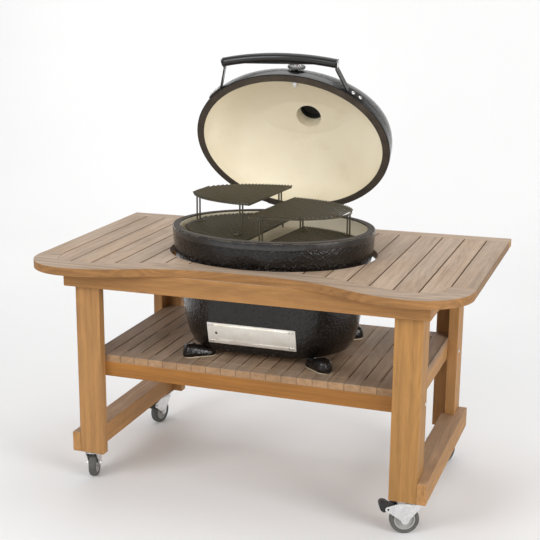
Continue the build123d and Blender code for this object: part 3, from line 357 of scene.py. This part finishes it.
# ---------------------------------------------------------------- shelf
# Narrow slats inside a border of wider strips, screwed down on the shelf rails.
# It gets the rain but little sun, so it has gone a greyer brown.

slat_room = 1.054
slat_count = 19
slat_gap = 0.0025
slat_row = ("X", -(slat_room - slat_gap) / 2, (slat_room - slat_gap) / slat_count)
dress(timber("teak_shelf", "Y", 43.0, slat_row, 0.35, 0.85, tone=0.80), "shelf_deck")

# ---------------------------------------------------------------- bolts
# Round-headed stainless bolts hold the legs to the shelf, the handle's straps to
# the lid and, much smaller, the draft frame to the base.

stainless = finish("stainless_bolts", {"Metallic": 1.0, "Base Color": (0.72, 0.71, 0.69, 1)})
bolt_marks = noise(stainless, place_coords(stainless), 900.0, 3.0, 0.6)
drive(stainless, "Roughness", spread(stainless, bolt_marks, 0.3, 0.7, 0.18, 0.38))
drive(stainless, "Normal", bump(stainless, bolt_marks, 0.0001, 0.4))


def turned(name, outline, sides, material, places, smooth=True):
    """Turns an outline that starts and ends on the axis about Z, once for each place."""
    points, faces = [], []
    inner = outline[1:-1]
    for place in places:
        first = len(points)
        points += [place @ Vector((0, 0, outline[0][1])), place @ Vector((0, 0, outline[-1][1]))]
        for i in range(sides):
            turn = 2 * math.pi * i / sides
            points += [place @ Vector((r * math.cos(turn), r * math.sin(turn), z)) for r, z in inner]
        for i in range(sides):
            near = first + 2 + i * len(inner)
            far = first + 2 + (i + 1) % sides * len(inner)
            faces.append((first, far, near))
            faces.append((first + 1, near + len(inner) - 1, far + len(inner) - 1))
            faces += [(near + j, far + j, far + j + 1, near + j + 1) for j in range(len(inner) - 1)]
    return mesh_object(name, points, faces, material, smooth)


def stand(spot, towards):
    """Place whose Z axis points a way, with its origin on a spot."""
    return Matrix.Translation(spot) @ Vector(towards).to_track_quat("Z", "Y").to_matrix().to_4x4()


def bolts(name, places, body, node, head, height, shank, length):
    """Domed bolts: each head stands on its place and the shank goes in behind it.

    head and shank are radii, and length is the shank's.
    """
    outline = [(0, -length), (shank * 0.9, -length), (shank, -length + 0.001), (shank, 0.0)]
    outline += [(head * 0.97, 0.0), (head, height * 0.12), (head, height * 0.3)]
    for step in range(1, 7):
        turn = math.radians(15 * step - 4)
        outline.append((head * math.cos(turn), height * (0.3 + 0.7 * math.sin(turn))))
    outline.append((0, height))
    made = turned(name, outline, 28, stainless, places)
    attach(made, body)
    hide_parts(node)


leg_face_x = 0.624
leg_bolt_ys = (-0.266, 0.350)
leg_bolt_z = 0.4525
leg_bolt_spots = [(side * leg_face_x, y, leg_bolt_z) for side in (-1, 1) for y in leg_bolt_ys]
leg_bolt_places = [stand(spot, (spot[0], 0, 0)) for spot in leg_bolt_spots]
bolts(
    "leg_bolt_heads", leg_bolt_places, "table", "leg_bolts",
    head=0.007, height=0.005, shank=0.004, length=0.056,
)

# ---------------------------------------------------------------- casters
# Zinc-plated pressed steel: a plate with a ball race, a fork and an axle.  The grey
# rubber tyre turns on a plastic core, and a black pedal tips down on it as a brake.

zinc = finish("bright_zinc", {"Metallic": 1.0})
zinc_cloud = noise(zinc, place_coords(zinc), 60.0, 3.0, 0.6)
zinc_grain = noise(zinc, place_coords(zinc), 900.0, 2.0, 0.6)
tint(zinc, zinc_cloud, (0.72, 0.73, 0.75), (0.90, 0.90, 0.89))
drive(zinc, "Roughness", spread(zinc, zinc_cloud, 0.3, 0.7, 0.22, 0.36))
drive(zinc, "Normal", bump(zinc, zinc_grain, 0.0001, 0.35))
dress(zinc, "caster_plates", "hinge_pin", "hinge_springs")

tyre_rubber = finish("grey_rubber", {"Specular IOR Level": 0.3})
rubber_dust = noise(tyre_rubber, place_coords(tyre_rubber), 45.0, 4.0, 0.6)
rubber_grain = noise(tyre_rubber, place_coords(tyre_rubber), 700.0, 2.0, 0.6)
tint(tyre_rubber, rubber_dust, (0.075, 0.074, 0.068), (0.125, 0.122, 0.112), high=0.75)
drive(tyre_rubber, "Roughness", spread(tyre_rubber, rubber_grain, 0.3, 0.7, 0.55, 0.75))
drive(tyre_rubber, "Normal", bump(tyre_rubber, rubber_grain, 0.0003, 0.4))

core_plastic = finish("grey_core", {"Roughness": 0.45})
core_grain = noise(core_plastic, place_coords(core_plastic), 250.0, 3.0)
tint(core_plastic, core_grain, (0.30, 0.29, 0.275), (0.38, 0.37, 0.35))
drive(core_plastic, "Normal", bump(core_plastic, core_grain, 0.0001, 0.3))

pedal_plastic = finish("black_pedal", {"Specular IOR Level": 0.4})
pedal_grain = noise(pedal_plastic, place_coords(pedal_plastic), 800.0, 2.0, 0.5)
tint(pedal_plastic, pedal_grain, (0.012, 0.012, 0.013), (0.022, 0.022, 0.023))
drive(pedal_plastic, "Roughness", spread(pedal_plastic, pedal_grain, 0.3, 0.7, 0.38, 0.5))
drive(pedal_plastic, "Normal", bump(pedal_plastic, pedal_grain, 0.0002, 0.4))


def lathe(name, outline, segments, material, place):
    """Turns a closed outline of (radius, height) points about Z, then moves it to its place."""
    points = []
    for i in range(segments):
        turn = 2 * math.pi * i / segments
        points += [(r * math.cos(turn), r * math.sin(turn), z) for r, z in outline]
    count = len(outline)
    faces = []
    for i in range(segments):
        near = i * count
        far = (i + 1) % segments * count
        for j in range(count):
            k = (j + 1) % count
            faces.append((near + j, far + j, far + k, near + k))
    made = mesh_object(name, points, faces, material)
    made.data.transform(place)
    made.data.validate()
    return made


def rounded(outline, radius, steps=4):
    """Rounds the corners of an outline, each by the same radius."""
    result = []
    count = len(outline)
    for i in range(count):
        before, corner, after = (Vector(outline[(i + j) % count]) for j in (-1, 0, 1))
        back = (before - corner).normalized()
        on = (after - corner).normalized()
        reach = min(radius, (before - corner).length * 0.45, (after - corner).length * 0.45)
        if back.angle(on) > math.radians(165):
            result.append(tuple(corner))
            continue
        for step in range(steps + 1):
            t = step / steps
            start = corner + back * reach
            end = corner + on * reach
            result.append(tuple((1 - t) ** 2 * start + 2 * t * (1 - t) * corner + t * t * end))
    return result


def prism(name, outline, half_width, place, material, edge):
    """Closed plate with rounded edges: an outline in X and Z, thick along Y."""
    count = len(outline)
    points = [(x, y, z) for y in (-half_width, half_width) for x, z in outline]
    faces = [tuple(range(count)), tuple(reversed(range(count, 2 * count)))]
    faces += [(i, i + count, (i + 1) % count + count, (i + 1) % count) for i in range(count)]
    made = mesh_object(name, points, faces, material)
    form = bmesh.new()
    form.from_mesh(made.data)
    bmesh.ops.recalc_face_normals(form, faces=form.faces)
    rims = [e for e in form.edges if abs(e.verts[0].co.y - e.verts[1].co.y) < 1e-6]
    bmesh.ops.bevel(form, geom=rims, offset=edge, segments=3, profile=0.6, affect="EDGES")
    form.to_mesh(made.data)
    form.free()
    for polygon in made.data.polygons:
        polygon.use_smooth = True
    made.data.transform(place)
    return made


swivel_x = 0.606
swivel_ys = {"front": -0.290, "back": 0.374}
trail_angles = {"front_right": 203, "front_left": 105, "back_left": 262, "back_right": 240}
trail = 0.032
axle_height = 0.050
pedal_half_width = 0.0178
tyre_outline = rounded([
    (0.036, -0.013), (0.047, -0.015), (0.050, -0.009),
    (0.050, 0.009), (0.047, 0.015), (0.036, 0.013),
], 0.004)
core_outline = rounded([
    (0.0052, -0.018), (0.013, -0.018), (0.013, -0.0085),
    (0.030, -0.0075), (0.030, -0.0125), (0.0362, -0.0125),
    (0.0362, 0.0125), (0.030, 0.0125), (0.030, 0.0075),
    (0.013, 0.0085), (0.013, 0.018), (0.0052, 0.018),
], 0.0012, 2)
pedal_outline = rounded([
    (0.064, 0.103), (0.084, 0.106), (0.098, 0.116), (0.113, 0.117), (0.120, 0.108),
    (0.116, 0.089), (0.105, 0.079), (0.084, 0.084), (0.066, 0.095),
], 0.004)
for corner, angle in trail_angles.items():
    end, side = corner.split("_")
    swivel = Matrix.Translation((swivel_x if side == "right" else -swivel_x, swivel_ys[end], 0))
    swivel = swivel @ Matrix.Rotation(math.radians(angle), 4, "Z")
    axle_place = swivel @ Matrix.Translation((trail, 0, axle_height))
    wheel_place = axle_place @ Matrix.Rotation(math.radians(90), 4, "X")
    dress(zinc, "caster_fork_" + corner)
    tyre = lathe("tyre_" + corner, tyre_outline, 96, tyre_rubber, wheel_place)
    core = lathe("wheel_core_" + corner, core_outline, 72, core_plastic, wheel_place)
    for piece in (tyre, core):
        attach(piece, "wheel_" + corner)
        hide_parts("caster_wheel_" + corner)
    pedal = prism("brake_pedal_" + corner, pedal_outline, pedal_half_width, swivel, pedal_plastic, 0.0015)
    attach(pedal, "pedal_" + corner)
    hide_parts("caster_pedal_" + corner)

# ---------------------------------------------------------------- ceramic shells
# Base and lid are slip-cast ceramic: a thick black glaze outside, with a pitted
# orange-peel skin, and bare cream clay inside.

oval_ratio = 0.82
rim_half_length = 0.367
rim_half_width = rim_half_length * oval_ratio
base_rim_z = 0.957
lid_rim_z = 0.966

# Where the closed lid's places lie while it stands open, turned back about its hinge
hinge_y = 0.320
hinge_z = 0.922
hinge_place = Matrix.Translation((0, hinge_y, hinge_z))
lid_angle = math.radians(-61.5)
lid_open = hinge_place @ Matrix.Rotation(lid_angle, 4, "X") @ hinge_place.inverted()


def glazed_shell(name, heart, upright, turned_in=0.0):
    """Glaze on faces that look away from the shell's heart, clay on those that look in.

    upright leaves height out of this.  turned_in is how far a face may look in and
    still be glazed.
    """
    ceramic = finish(name, {"Coat Roughness": 0.04, "Specular IOR Level": 0.4})
    here = put(ceramic, "TexCoord", {})
    spot = here.outputs["Object"]
    outward = put(ceramic, "VectorMath", {0: spot, 1: heart}, operation="SUBTRACT").outputs[0]
    if upright:
        outward = put(ceramic, "VectorMath", {0: outward, 1: (1, 1, 0)}, operation="MULTIPLY").outputs[0]
    ways = {0: outward, 1: here.outputs["Normal"]}
    facing = put(ceramic, "VectorMath", ways, operation="DOT_PRODUCT").outputs["Value"]
    glazed = reckon(ceramic, "GREATER_THAN", facing, turned_in)

    cloud = noise(ceramic, spot, 5.0, 3.0)
    clay_grain = noise(ceramic, spot, 420.0, 3.0, 0.6)
    clay_stain = noise(ceramic, spot, 9.0, 4.0, 0.65)
    clay = ramp(ceramic, cloud, (0.84, 0.75, 0.565), (0.90, 0.83, 0.66))
    stained = spread(ceramic, clay_stain, 0.58, 0.78, 0.0, 0.30)
    clay = blend_colours(ceramic, stained, clay, (0.66, 0.53, 0.34))
    glaze_cloud = noise(ceramic, spot, 14.0, 4.0)
    glaze_tone = ramp(ceramic, glaze_cloud, (0.004, 0.003, 0.0025), (0.010, 0.0075, 0.006), high=0.75)
    drive(ceramic, "Base Color", blend_colours(ceramic, glazed, clay, glaze_tone))
    drive(ceramic, "Roughness", spread(ceramic, glazed, 0.0, 1.0, 0.82, 0.10))
    drive(ceramic, "Coat Weight", reckon(ceramic, "MULTIPLY", glazed, 0.15))

    peel = noise(ceramic, spot, 95.0, 2.5, 0.55)
    cells = {"Vector": spot, "Scale": 120.0, "Randomness": 1.0}
    pits = spread(ceramic, put(ceramic, "TexVoronoi", cells).outputs["Distance"], 0.0, 0.30)
    skin = reckon(ceramic, "MULTIPLY", peel, 0.9)
    skin = reckon(ceramic, "ADD", skin, reckon(ceramic, "MULTIPLY", pits, 0.5))
    glaze_relief = reckon(ceramic, "MULTIPLY", skin, glazed)
    clay_relief = reckon(ceramic, "MULTIPLY", clay_grain, reckon(ceramic, "SUBTRACT", 1.0, glazed))
    relief = reckon(ceramic, "ADD", glaze_relief, reckon(ceramic, "MULTIPLY", clay_relief, 0.25))
    drive(ceramic, "Normal", bump(ceramic, relief, 0.0038, 1.0))
    return ceramic


base_heart = (0, 0, 0.76)
lid_heart = tuple(lid_open @ Vector((0, 0, 1.02)))
dress(glazed_shell("base_ceramic", base_heart, upright=True), "base_shell")
dress(glazed_shell("lid_ceramic", lid_heart, upright=False), "lid_shell")

# ---------------------------------------------------------------- firebox
# A loose cup of cream fired clay that holds the charcoal, with a slotted iron
# grate over the hole in its floor.

fired_clay = finish("fired_clay", {"Roughness": 0.85})
clay_tone = noise(fired_clay, place_coords(fired_clay), 7.0, 4.0, 0.6)
clay_skin = noise(fired_clay, place_coords(fired_clay), 380.0, 3.0, 0.6)
tint(fired_clay, clay_tone, (0.66, 0.56, 0.40), (0.82, 0.74, 0.57))
drive(fired_clay, "Normal", bump(fired_clay, clay_skin, 0.0005, 0.5))
dress(fired_clay, "firebox")

black_iron = finish("black_iron", {"Specular IOR Level": 0.45})
iron_cast = noise(black_iron, place_coords(black_iron), 320.0, 3.0, 0.6)
tint(black_iron, iron_cast, (0.014, 0.013, 0.012), (0.032, 0.030, 0.027), high=0.75)
drive(black_iron, "Roughness", spread(black_iron, iron_cast, 0.3, 0.7, 0.42, 0.6))
drive(black_iron, "Normal", bump(black_iron, iron_cast, 0.0006, 0.6))
dress(black_iron, "fire_grate", "vent_base", "vent_cap")

# ---------------------------------------------------------------- gaskets
# Strips of dense dark felt glued round both rims, which meet when the lid shuts.

felt = finish("brown_felt", {
    "Roughness": 0.95,
    "Sheen Weight": 0.12,
    "Sheen Roughness": 0.5,
    "Specular IOR Level": 0.1,
})
felt_fibres = noise(felt, place_coords(felt), 650.0, 4.0, 0.75)
felt_wear = noise(felt, place_coords(felt), 22.0, 4.0, 0.65)
felt_tone = ramp(felt, felt_wear, (0.026, 0.020, 0.015), (0.070, 0.055, 0.040), high=0.75)
fibre_tips = spread(felt, felt_fibres, 0.35, 0.7, 0.0, 0.5)
drive(felt, "Base Color", blend_colours(felt, fibre_tips, felt_tone, (0.100, 0.078, 0.057)))
drive(felt, "Normal", bump(felt, felt_fibres, 0.0012, 0.8))
dress(felt, "base_gasket", "lid_gasket")

# ---------------------------------------------------------------- feet
# Four black-glazed ceramic shoes on the shelf: the base stands on their heels and
# their round toes rise outside it.

shoe_length = 0.124
shoe_half_width = 0.029
shoe_overhang = 0.091
shoe_drift = 0.014
shoe_tops = (
    (-0.033, 0.027), (-0.022, 0.029), (-0.002, 0.0293), (0.014, 0.034),
    (0.032, 0.038), (0.049, 0.0455), (0.066, 0.046),
)
shoe_stations = 48
shoe_rim = 17
shelf_top = 0.505
base_bottom_half_length = 0.292
shoe_angle = math.radians(46.6)
# Its heart lies far below, so only faces that look steeply down are bare clay
shoe_glaze = glazed_shell("feet_glaze", (0, 0, -9.0), upright=False, turned_in=-5.0)


def shoe_top(x):
    """Height of the shoe's ridge, rounded down over the toe."""
    for (low, low_top), (high, high_top) in zip(shoe_tops, shoe_tops[1:]):
        if x <= high:
            share = (x - low) / (high - low)
            return low_top + (high_top - low_top) * share * share * (3 - 2 * share)
    fall = (x - shoe_tops[-1][0]) / (shoe_overhang - shoe_tops[-1][0])
    return shoe_tops[-1][1] * (1 - 0.97 * fall ** 3) ** 0.5


def shoe_half(x):
    """Half the shoe's width, which both ends round off."""
    end = min(x - shoe_overhang + shoe_length, shoe_overhang - x)
    if end >= shoe_half_width:
        return shoe_half_width
    return math.sqrt(max(2 * shoe_half_width * end - end * end, 1e-7))


shoe_points = []
for i in range(shoe_stations + 1):
    turn = math.pi * i / shoe_stations
    x = shoe_overhang - shoe_length / 2 - shoe_length / 2 * math.cos(turn)
    for j in range(shoe_rim):
        lean = math.pi * j / (shoe_rim - 1)
        y = math.copysign(abs(math.cos(lean)) ** 0.65, math.cos(lean))
        shoe_points.append((x, shoe_half(x) * y, shoe_top(x) * math.sin(lean) ** 0.65))
last_rim = shoe_stations * shoe_rim
shoe_faces = [tuple(range(shoe_rim)), tuple(reversed(range(last_rim, last_rim + shoe_rim)))]
for i in range(shoe_stations):
    near, far = i * shoe_rim, (i + 1) * shoe_rim
    for j in range(shoe_rim):
        k = (j + 1) % shoe_rim
        shoe_faces.append((near + j, far + j, far + k, near + k))

edge_x = base_bottom_half_length * math.cos(shoe_angle)
edge_y = base_bottom_half_length * oval_ratio * math.sin(shoe_angle)
for x_sign in (-1, 1):
    for y_sign in (-1, 1):
        heading = math.atan2(y_sign * edge_y, x_sign * edge_x)
        spot = (x_sign * edge_x + shoe_drift, y_sign * edge_y, shelf_top)
        shoe = mesh_object("shoe_foot", shoe_points, shoe_faces, shoe_glaze)
        shoe.data.transform(Matrix.Translation(spot) @ Matrix.Rotation(heading, 4, "Z"))
        face_outwards(shoe)
        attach(shoe, "table")
        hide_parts("ceramic_feet")

# ---------------------------------------------------------------- draft
# A brushed stainless frame screwed over the opening low in the base, with a door
# that slides across its window by a bent tab.

brushed = finish("brushed_stainless", {"Metallic": 1.0})
brush_lines = noise(brushed, place_coords(brushed, (25, 1500, 1500)), 1.0, 3.0, 0.6)
smears = noise(brushed, place_coords(brushed), 18.0, 3.0, 0.6)
tint(brushed, smears, (0.80, 0.76, 0.69), (0.90, 0.88, 0.83))
drive(brushed, "Roughness", spread(brushed, brush_lines, 0.3, 0.7, 0.38, 0.54))
drive(brushed, "Normal", bump(brushed, brush_lines, 0.0001, 0.4))
dress(brushed, "draft_frame", "draft_door")

facet_lean = math.radians(14)
facet_out = Vector((0, -math.cos(facet_lean), -math.sin(facet_lean)))
facet_up = Vector((0, -math.sin(facet_lean), math.cos(facet_lean)))
facet_foot_y = -0.207
facet_foot_z = 0.535
plate_thickness = 0.0015
screw_xs = (-0.154, -0.143, 0.143, 0.154)
screw_rises = (0.041, 0.105)
screw_places = []
for x in screw_xs:
    for rise in screw_rises:
        spot = Vector((x, facet_foot_y, facet_foot_z)) + facet_up * rise + facet_out * plate_thickness
        screw_places.append(stand(spot, facet_out))
bolts(
    "draft_screw_heads", screw_places, "table", "draft_screws",
    head=0.0045, height=0.0025, shank=0.002, length=0.014,
)

# ---------------------------------------------------------------- bands and hinge
# Steel bands in black enamel clamp both rims.  Brackets bolted on them at the back
# meet on one pin, where springs help the heavy lid up.

enamel = finish("black_enamel", {"Coat Weight": 0.4, "Coat Roughness": 0.08})
enamel_skin = noise(enamel, place_coords(enamel), 160.0, 2.0, 0.5)
enamel_dust = noise(enamel, place_coords(enamel), 25.0, 4.0, 0.6)
tint(enamel, enamel_dust, (0.012, 0.011, 0.011), (0.028, 0.025, 0.022), 0.35, 0.8)
drive(enamel, "Roughness", spread(enamel, enamel_dust, 0.3, 0.7, 0.22, 0.36))
drive(enamel, "Normal", bump(enamel, enamel_skin, 0.0003, 0.5))
dress(enamel, "hinge_base_bracket", "hinge_lid_bracket", "handle_brackets")

band_height = 0.022
band_thickness = 0.002
band_gap = 0.0002
band_face = rounded([
    (0.0, 0.0), (band_thickness, 0.0), (band_thickness, band_height), (0.0, band_height),
], 0.0008, 3)


def band(name, low, place, body):
    """Oval hoop with rolled edges round a rim."""
    points, faces = [], []
    sides, count = 160, len(band_face)
    for i in range(sides):
        turn = 2 * math.pi * i / sides
        for out, rise in band_face:
            half_length = rim_half_length + band_gap + out
            half_width = rim_half_width + band_gap + out
            spot = (half_length * math.cos(turn), half_width * math.sin(turn), low + rise)
            points.append(place @ Vector(spot))
        for j in range(count):
            k = (j + 1) % count
            near, far = i * count, (i + 1) % sides * count
            faces.append((near + j, far + j, far + k, near + k))
    made = mesh_object(name, points, faces, enamel)
    face_outwards(made)
    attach(made, body)
    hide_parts(name)


band("base_band", base_rim_z - band_height, Matrix(), "table")
band("lid_band", lid_rim_z, lid_open, "lid")

# ---------------------------------------------------------------- handle
# A bowed grip of glossy black moulding between two flat enamelled straps, closed
# at each end by the bright head of its bolt.

grip_black = finish("grip_black", {
    "Coat Weight": 0.3,
    "Coat Roughness": 0.08,
    "Roughness": 0.34,
    "Specular IOR Level": 0.35,
})
grip_skin = noise(grip_black, place_coords(grip_black), 90.0, 2.0)
tint(grip_black, grip_skin, (0.007, 0.0065, 0.006), (0.014, 0.013, 0.012))
drive(grip_black, "Normal", bump(grip_black, grip_skin, 0.0003, 0.4))

grip_half_length = 0.207
grip_bow = 0.022
grip_y = -rim_half_width - 0.040
grip_z = lid_rim_z + 0.016
grip_radius = 0.016
grip_sides = 40
bow_radius = (grip_half_length ** 2 + grip_bow ** 2) / (2 * grip_bow)
half_turn = math.asin(grip_half_length / bow_radius)
grip_end = [(-1.0, 0.0045), (-1.0, 0.0125), (-0.998, 0.0146), (-0.993, 0.0157), (-0.984, grip_radius)]
grip_stations = grip_end + [(i / 20, grip_radius) for i in range(-19, 20)]
grip_stations += [(-share, radius) for share, radius in reversed(grip_end)]
points = []
for share, radius in grip_stations:
    turn = half_turn * share
    bow = bow_radius * (1 - math.cos(turn))
    middle = Vector((bow_radius * math.sin(turn), grip_y - grip_bow + bow, grip_z))
    out = Vector((math.sin(turn), -math.cos(turn), 0))
    for j in range(grip_sides):
        around = 2 * math.pi * j / grip_sides
        skin = out * math.cos(around) + Vector((0, 0, math.sin(around)))
        points.append(lid_open @ (middle + radius * skin))
faces = []
for i in range(len(grip_stations)):
    near, far = i * grip_sides, (i + 1) % len(grip_stations) * grip_sides
    for j in range(grip_sides):
        k = (j + 1) % grip_sides
        faces.append((near + j, far + j, far + k, near + k))
grip = mesh_object("bowed_grip", points, faces, grip_black)
face_outwards(grip)
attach(grip, "lid")
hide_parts("handle_grip")

strap_face = 0.0075
strap_bolt_angles = (-47, -42)
strap_bolt_places = []
for angle in strap_bolt_angles:
    turn = math.radians(angle)
    x = (rim_half_length + strap_face) * math.cos(turn)
    y = (rim_half_width + strap_face) * math.sin(turn)
    for side in (-1, 1):
        spot = lid_open @ Vector((side * x, y, lid_rim_z + band_height / 2))
        out = lid_open.to_3x3() @ Vector((side * x / rim_half_length ** 2, y / rim_half_width ** 2, 0))
        strap_bolt_places.append(stand(spot, out))
bolts(
    "strap_bolt_heads", strap_bolt_places, "lid", "lid_bolts",
    head=0.007, height=0.005, shank=0.004, length=0.024,
)
cap_stand_off = 0.0053
cap_places = []
for side in (-1, 1):
    out = Vector((side * math.cos(half_turn), math.sin(half_turn), 0))
    spot = Vector((side * grip_half_length, grip_y, grip_z)) + out * cap_stand_off
    cap_places.append(stand(lid_open @ spot, lid_open.to_3x3() @ out))
bolts(
    "grip_end_caps", cap_places, "lid", "lid_bolts",
    head=0.015, height=0.003, shank=0.004, length=0.026,
)

# ---------------------------------------------------------------- cooking grates
# Half-oval grates of iron rod on a flat ring, enamelled black and gone olive-brown
# with use.  A taller rack of the same make stands on each.

grate_iron = finish("seasoned_iron", {"Specular IOR Level": 0.5})
season = noise(grate_iron, place_coords(grate_iron), 28.0, 4.0, 0.65)
grate_grain = noise(grate_iron, place_coords(grate_iron), 700.0, 2.0, 0.6)
tint(grate_iron, season, (0.026, 0.021, 0.010), (0.080, 0.064, 0.030))
drive(grate_iron, "Roughness", spread(grate_iron, season, 0.3, 0.7, 0.3, 0.5))
drive(grate_iron, "Normal", bump(grate_iron, grate_grain, 0.0003, 0.5))
dress(grate_iron, "main_grate_left", "main_grate_right", "rack_left", "rack_right")

# ---------------------------------------------------------------- thermometer
# A steel dial on the slope of the lid: a cream face with printed ticks and a red
# needle under glass.  Its stem goes through the wall and a nut holds it inside.

rim_straight = 0.022
dome_height = 0.184
dome_power_long = 2.6
dome_power_wide = 1.75
dial_lift = 0.052
dial_gap = 0.004
dial_x = 0.046
dial_lean = math.radians(23)
dial_rise = (dial_lift - rim_straight) / dome_height
wall_half_length = rim_half_length * (1 - dial_rise ** dome_power_long) ** (1 / dome_power_long)
wall_half_width = rim_half_width * (1 - dial_rise ** dome_power_wide) ** (1 / dome_power_wide)
dial_y = -wall_half_width * math.sqrt(1 - (dial_x / wall_half_length) ** 2)
dial_turn = math.atan2(dial_y / wall_half_width ** 2, dial_x / wall_half_length ** 2)
dial_out = Vector((
    math.cos(dial_turn) * math.cos(dial_lean),
    math.sin(dial_turn) * math.cos(dial_lean),
    math.sin(dial_lean),
))
dial_side = Vector((-math.sin(dial_turn), math.cos(dial_turn), 0))
dial_frame = Matrix((dial_side, dial_out.cross(dial_side), dial_out)).transposed().to_4x4()
dial_frame.translation = Vector((dial_x, dial_y, lid_rim_z + dial_lift)) + dial_out * dial_gap
dial_place = lid_open @ dial_frame

dull_steel = finish("dull_steel", {"Metallic": 0.9, "Base Color": (0.16, 0.16, 0.16, 1)})
steel_wear = noise(dull_steel, place_coords(dull_steel), 300.0, 3.0, 0.6)
drive(dull_steel, "Roughness", spread(dull_steel, steel_wear, 0.3, 0.7, 0.35, 0.55))
case = turned("dial_case", [
    (0, 0.0), (0.026, 0.0), (0.030, 0.0008), (0.0318, 0.003), (0.032, 0.0065), (0.0316, 0.0088),
    (0.0305, 0.010), (0.0295, 0.0098), (0.029, 0.0092), (0.029, 0.004), (0, 0.004),
], 96, dull_steel, [dial_place])
stem = turned("dial_stem", [
    (0, -0.070), (0.0025, -0.070), (0.0036, -0.0685), (0.004, -0.066), (0.004, 0.0), (0, 0.0),
], 32, stainless, [dial_place])
neck_nut = turned("dial_neck_nut", [
    (0, -0.0035), (0.0072, -0.0035), (0.008, -0.0028), (0.008, -0.0007), (0.0072, 0.0), (0, 0.0),
], 6, stainless, [dial_place], smooth=False)
wall_nut = turned("dial_wall_nut", [
    (0, -0.0618), (0.0118, -0.0618), (0.013, -0.0603), (0.013, -0.034), (0, -0.034),
], 6, stainless, [dial_place], smooth=False)

face_enamel = finish("dial_enamel", {"Roughness": 0.4})
enamel_speck = noise(face_enamel, place_coords(face_enamel), 600.0, 3.0)
tint(face_enamel, enamel_speck, (0.78, 0.76, 0.70), (0.84, 0.82, 0.77))
dial_face = turned("dial_face", [
    (0, 0.0041), (0.0288, 0.0041), (0.0288, 0.0044), (0, 0.0044),
], 96, face_enamel, [dial_place])

tick_ink = finish("tick_ink", {"Roughness": 0.5})
ink_grain = noise(tick_ink, place_coords(tick_ink), 1500.0, 2.0)
tint(tick_ink, ink_grain, (0.015, 0.015, 0.015), (0.03, 0.03, 0.03))
tick_count = 26
tick_end = 0.0272
points, faces = [], []
for i in range(tick_count):
    turn = math.radians(215 - 10 * i)
    half_width, tick_start = (0.0006, 0.0215) if i % 5 == 0 else (0.0003, 0.0240)
    along = Vector((math.sin(turn), math.cos(turn), 0))
    across = Vector((along.y, -along.x, 0)) * half_width
    first = len(points)
    for lift in (0.00435, 0.0046):
        for reach, way in ((tick_start, -1), (tick_start, 1), (tick_end, 1), (tick_end, -1)):
            points.append(dial_place @ (along * reach + across * way + Vector((0, 0, lift))))
    faces += [tuple(first + k for k in quad) for quad in (
        (0, 3, 2, 1), (4, 5, 6, 7), (0, 1, 5, 4), (1, 2, 6, 5), (2, 3, 7, 6), (3, 0, 4, 7),
    )]
ticks = mesh_object("dial_ticks", points, faces, tick_ink, smooth=False)

lens_glass = finish("dial_glass", {"IOR": 1.46, "Transmission Weight": 1.0, "Alpha": 0.25})
glass_smear = noise(lens_glass, place_coords(lens_glass), 60.0, 3.0)
drive(lens_glass, "Roughness", spread(lens_glass, glass_smear, 0.3, 0.7, 0.01, 0.06))
dial_lens = turned("dial_lens", [
    (0, 0.0088), (0.0288, 0.0088), (0.0289, 0.0092), (0.0284, 0.0096), (0, 0.0098),
], 96, lens_glass, [dial_place])
for piece in (case, stem, neck_nut, wall_nut, dial_face, ticks, dial_lens):
    face_outwards(piece)
    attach(piece, "lid")
    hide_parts("thermometer_case")

needle_red = finish("needle_red", {"Roughness": 0.4})
needle_grain = noise(needle_red, place_coords(needle_red), 900.0, 2.0)
tint(needle_red, needle_grain, (0.45, 0.02, 0.015), (0.55, 0.03, 0.02))
dress(needle_red, "thermometer_needle")
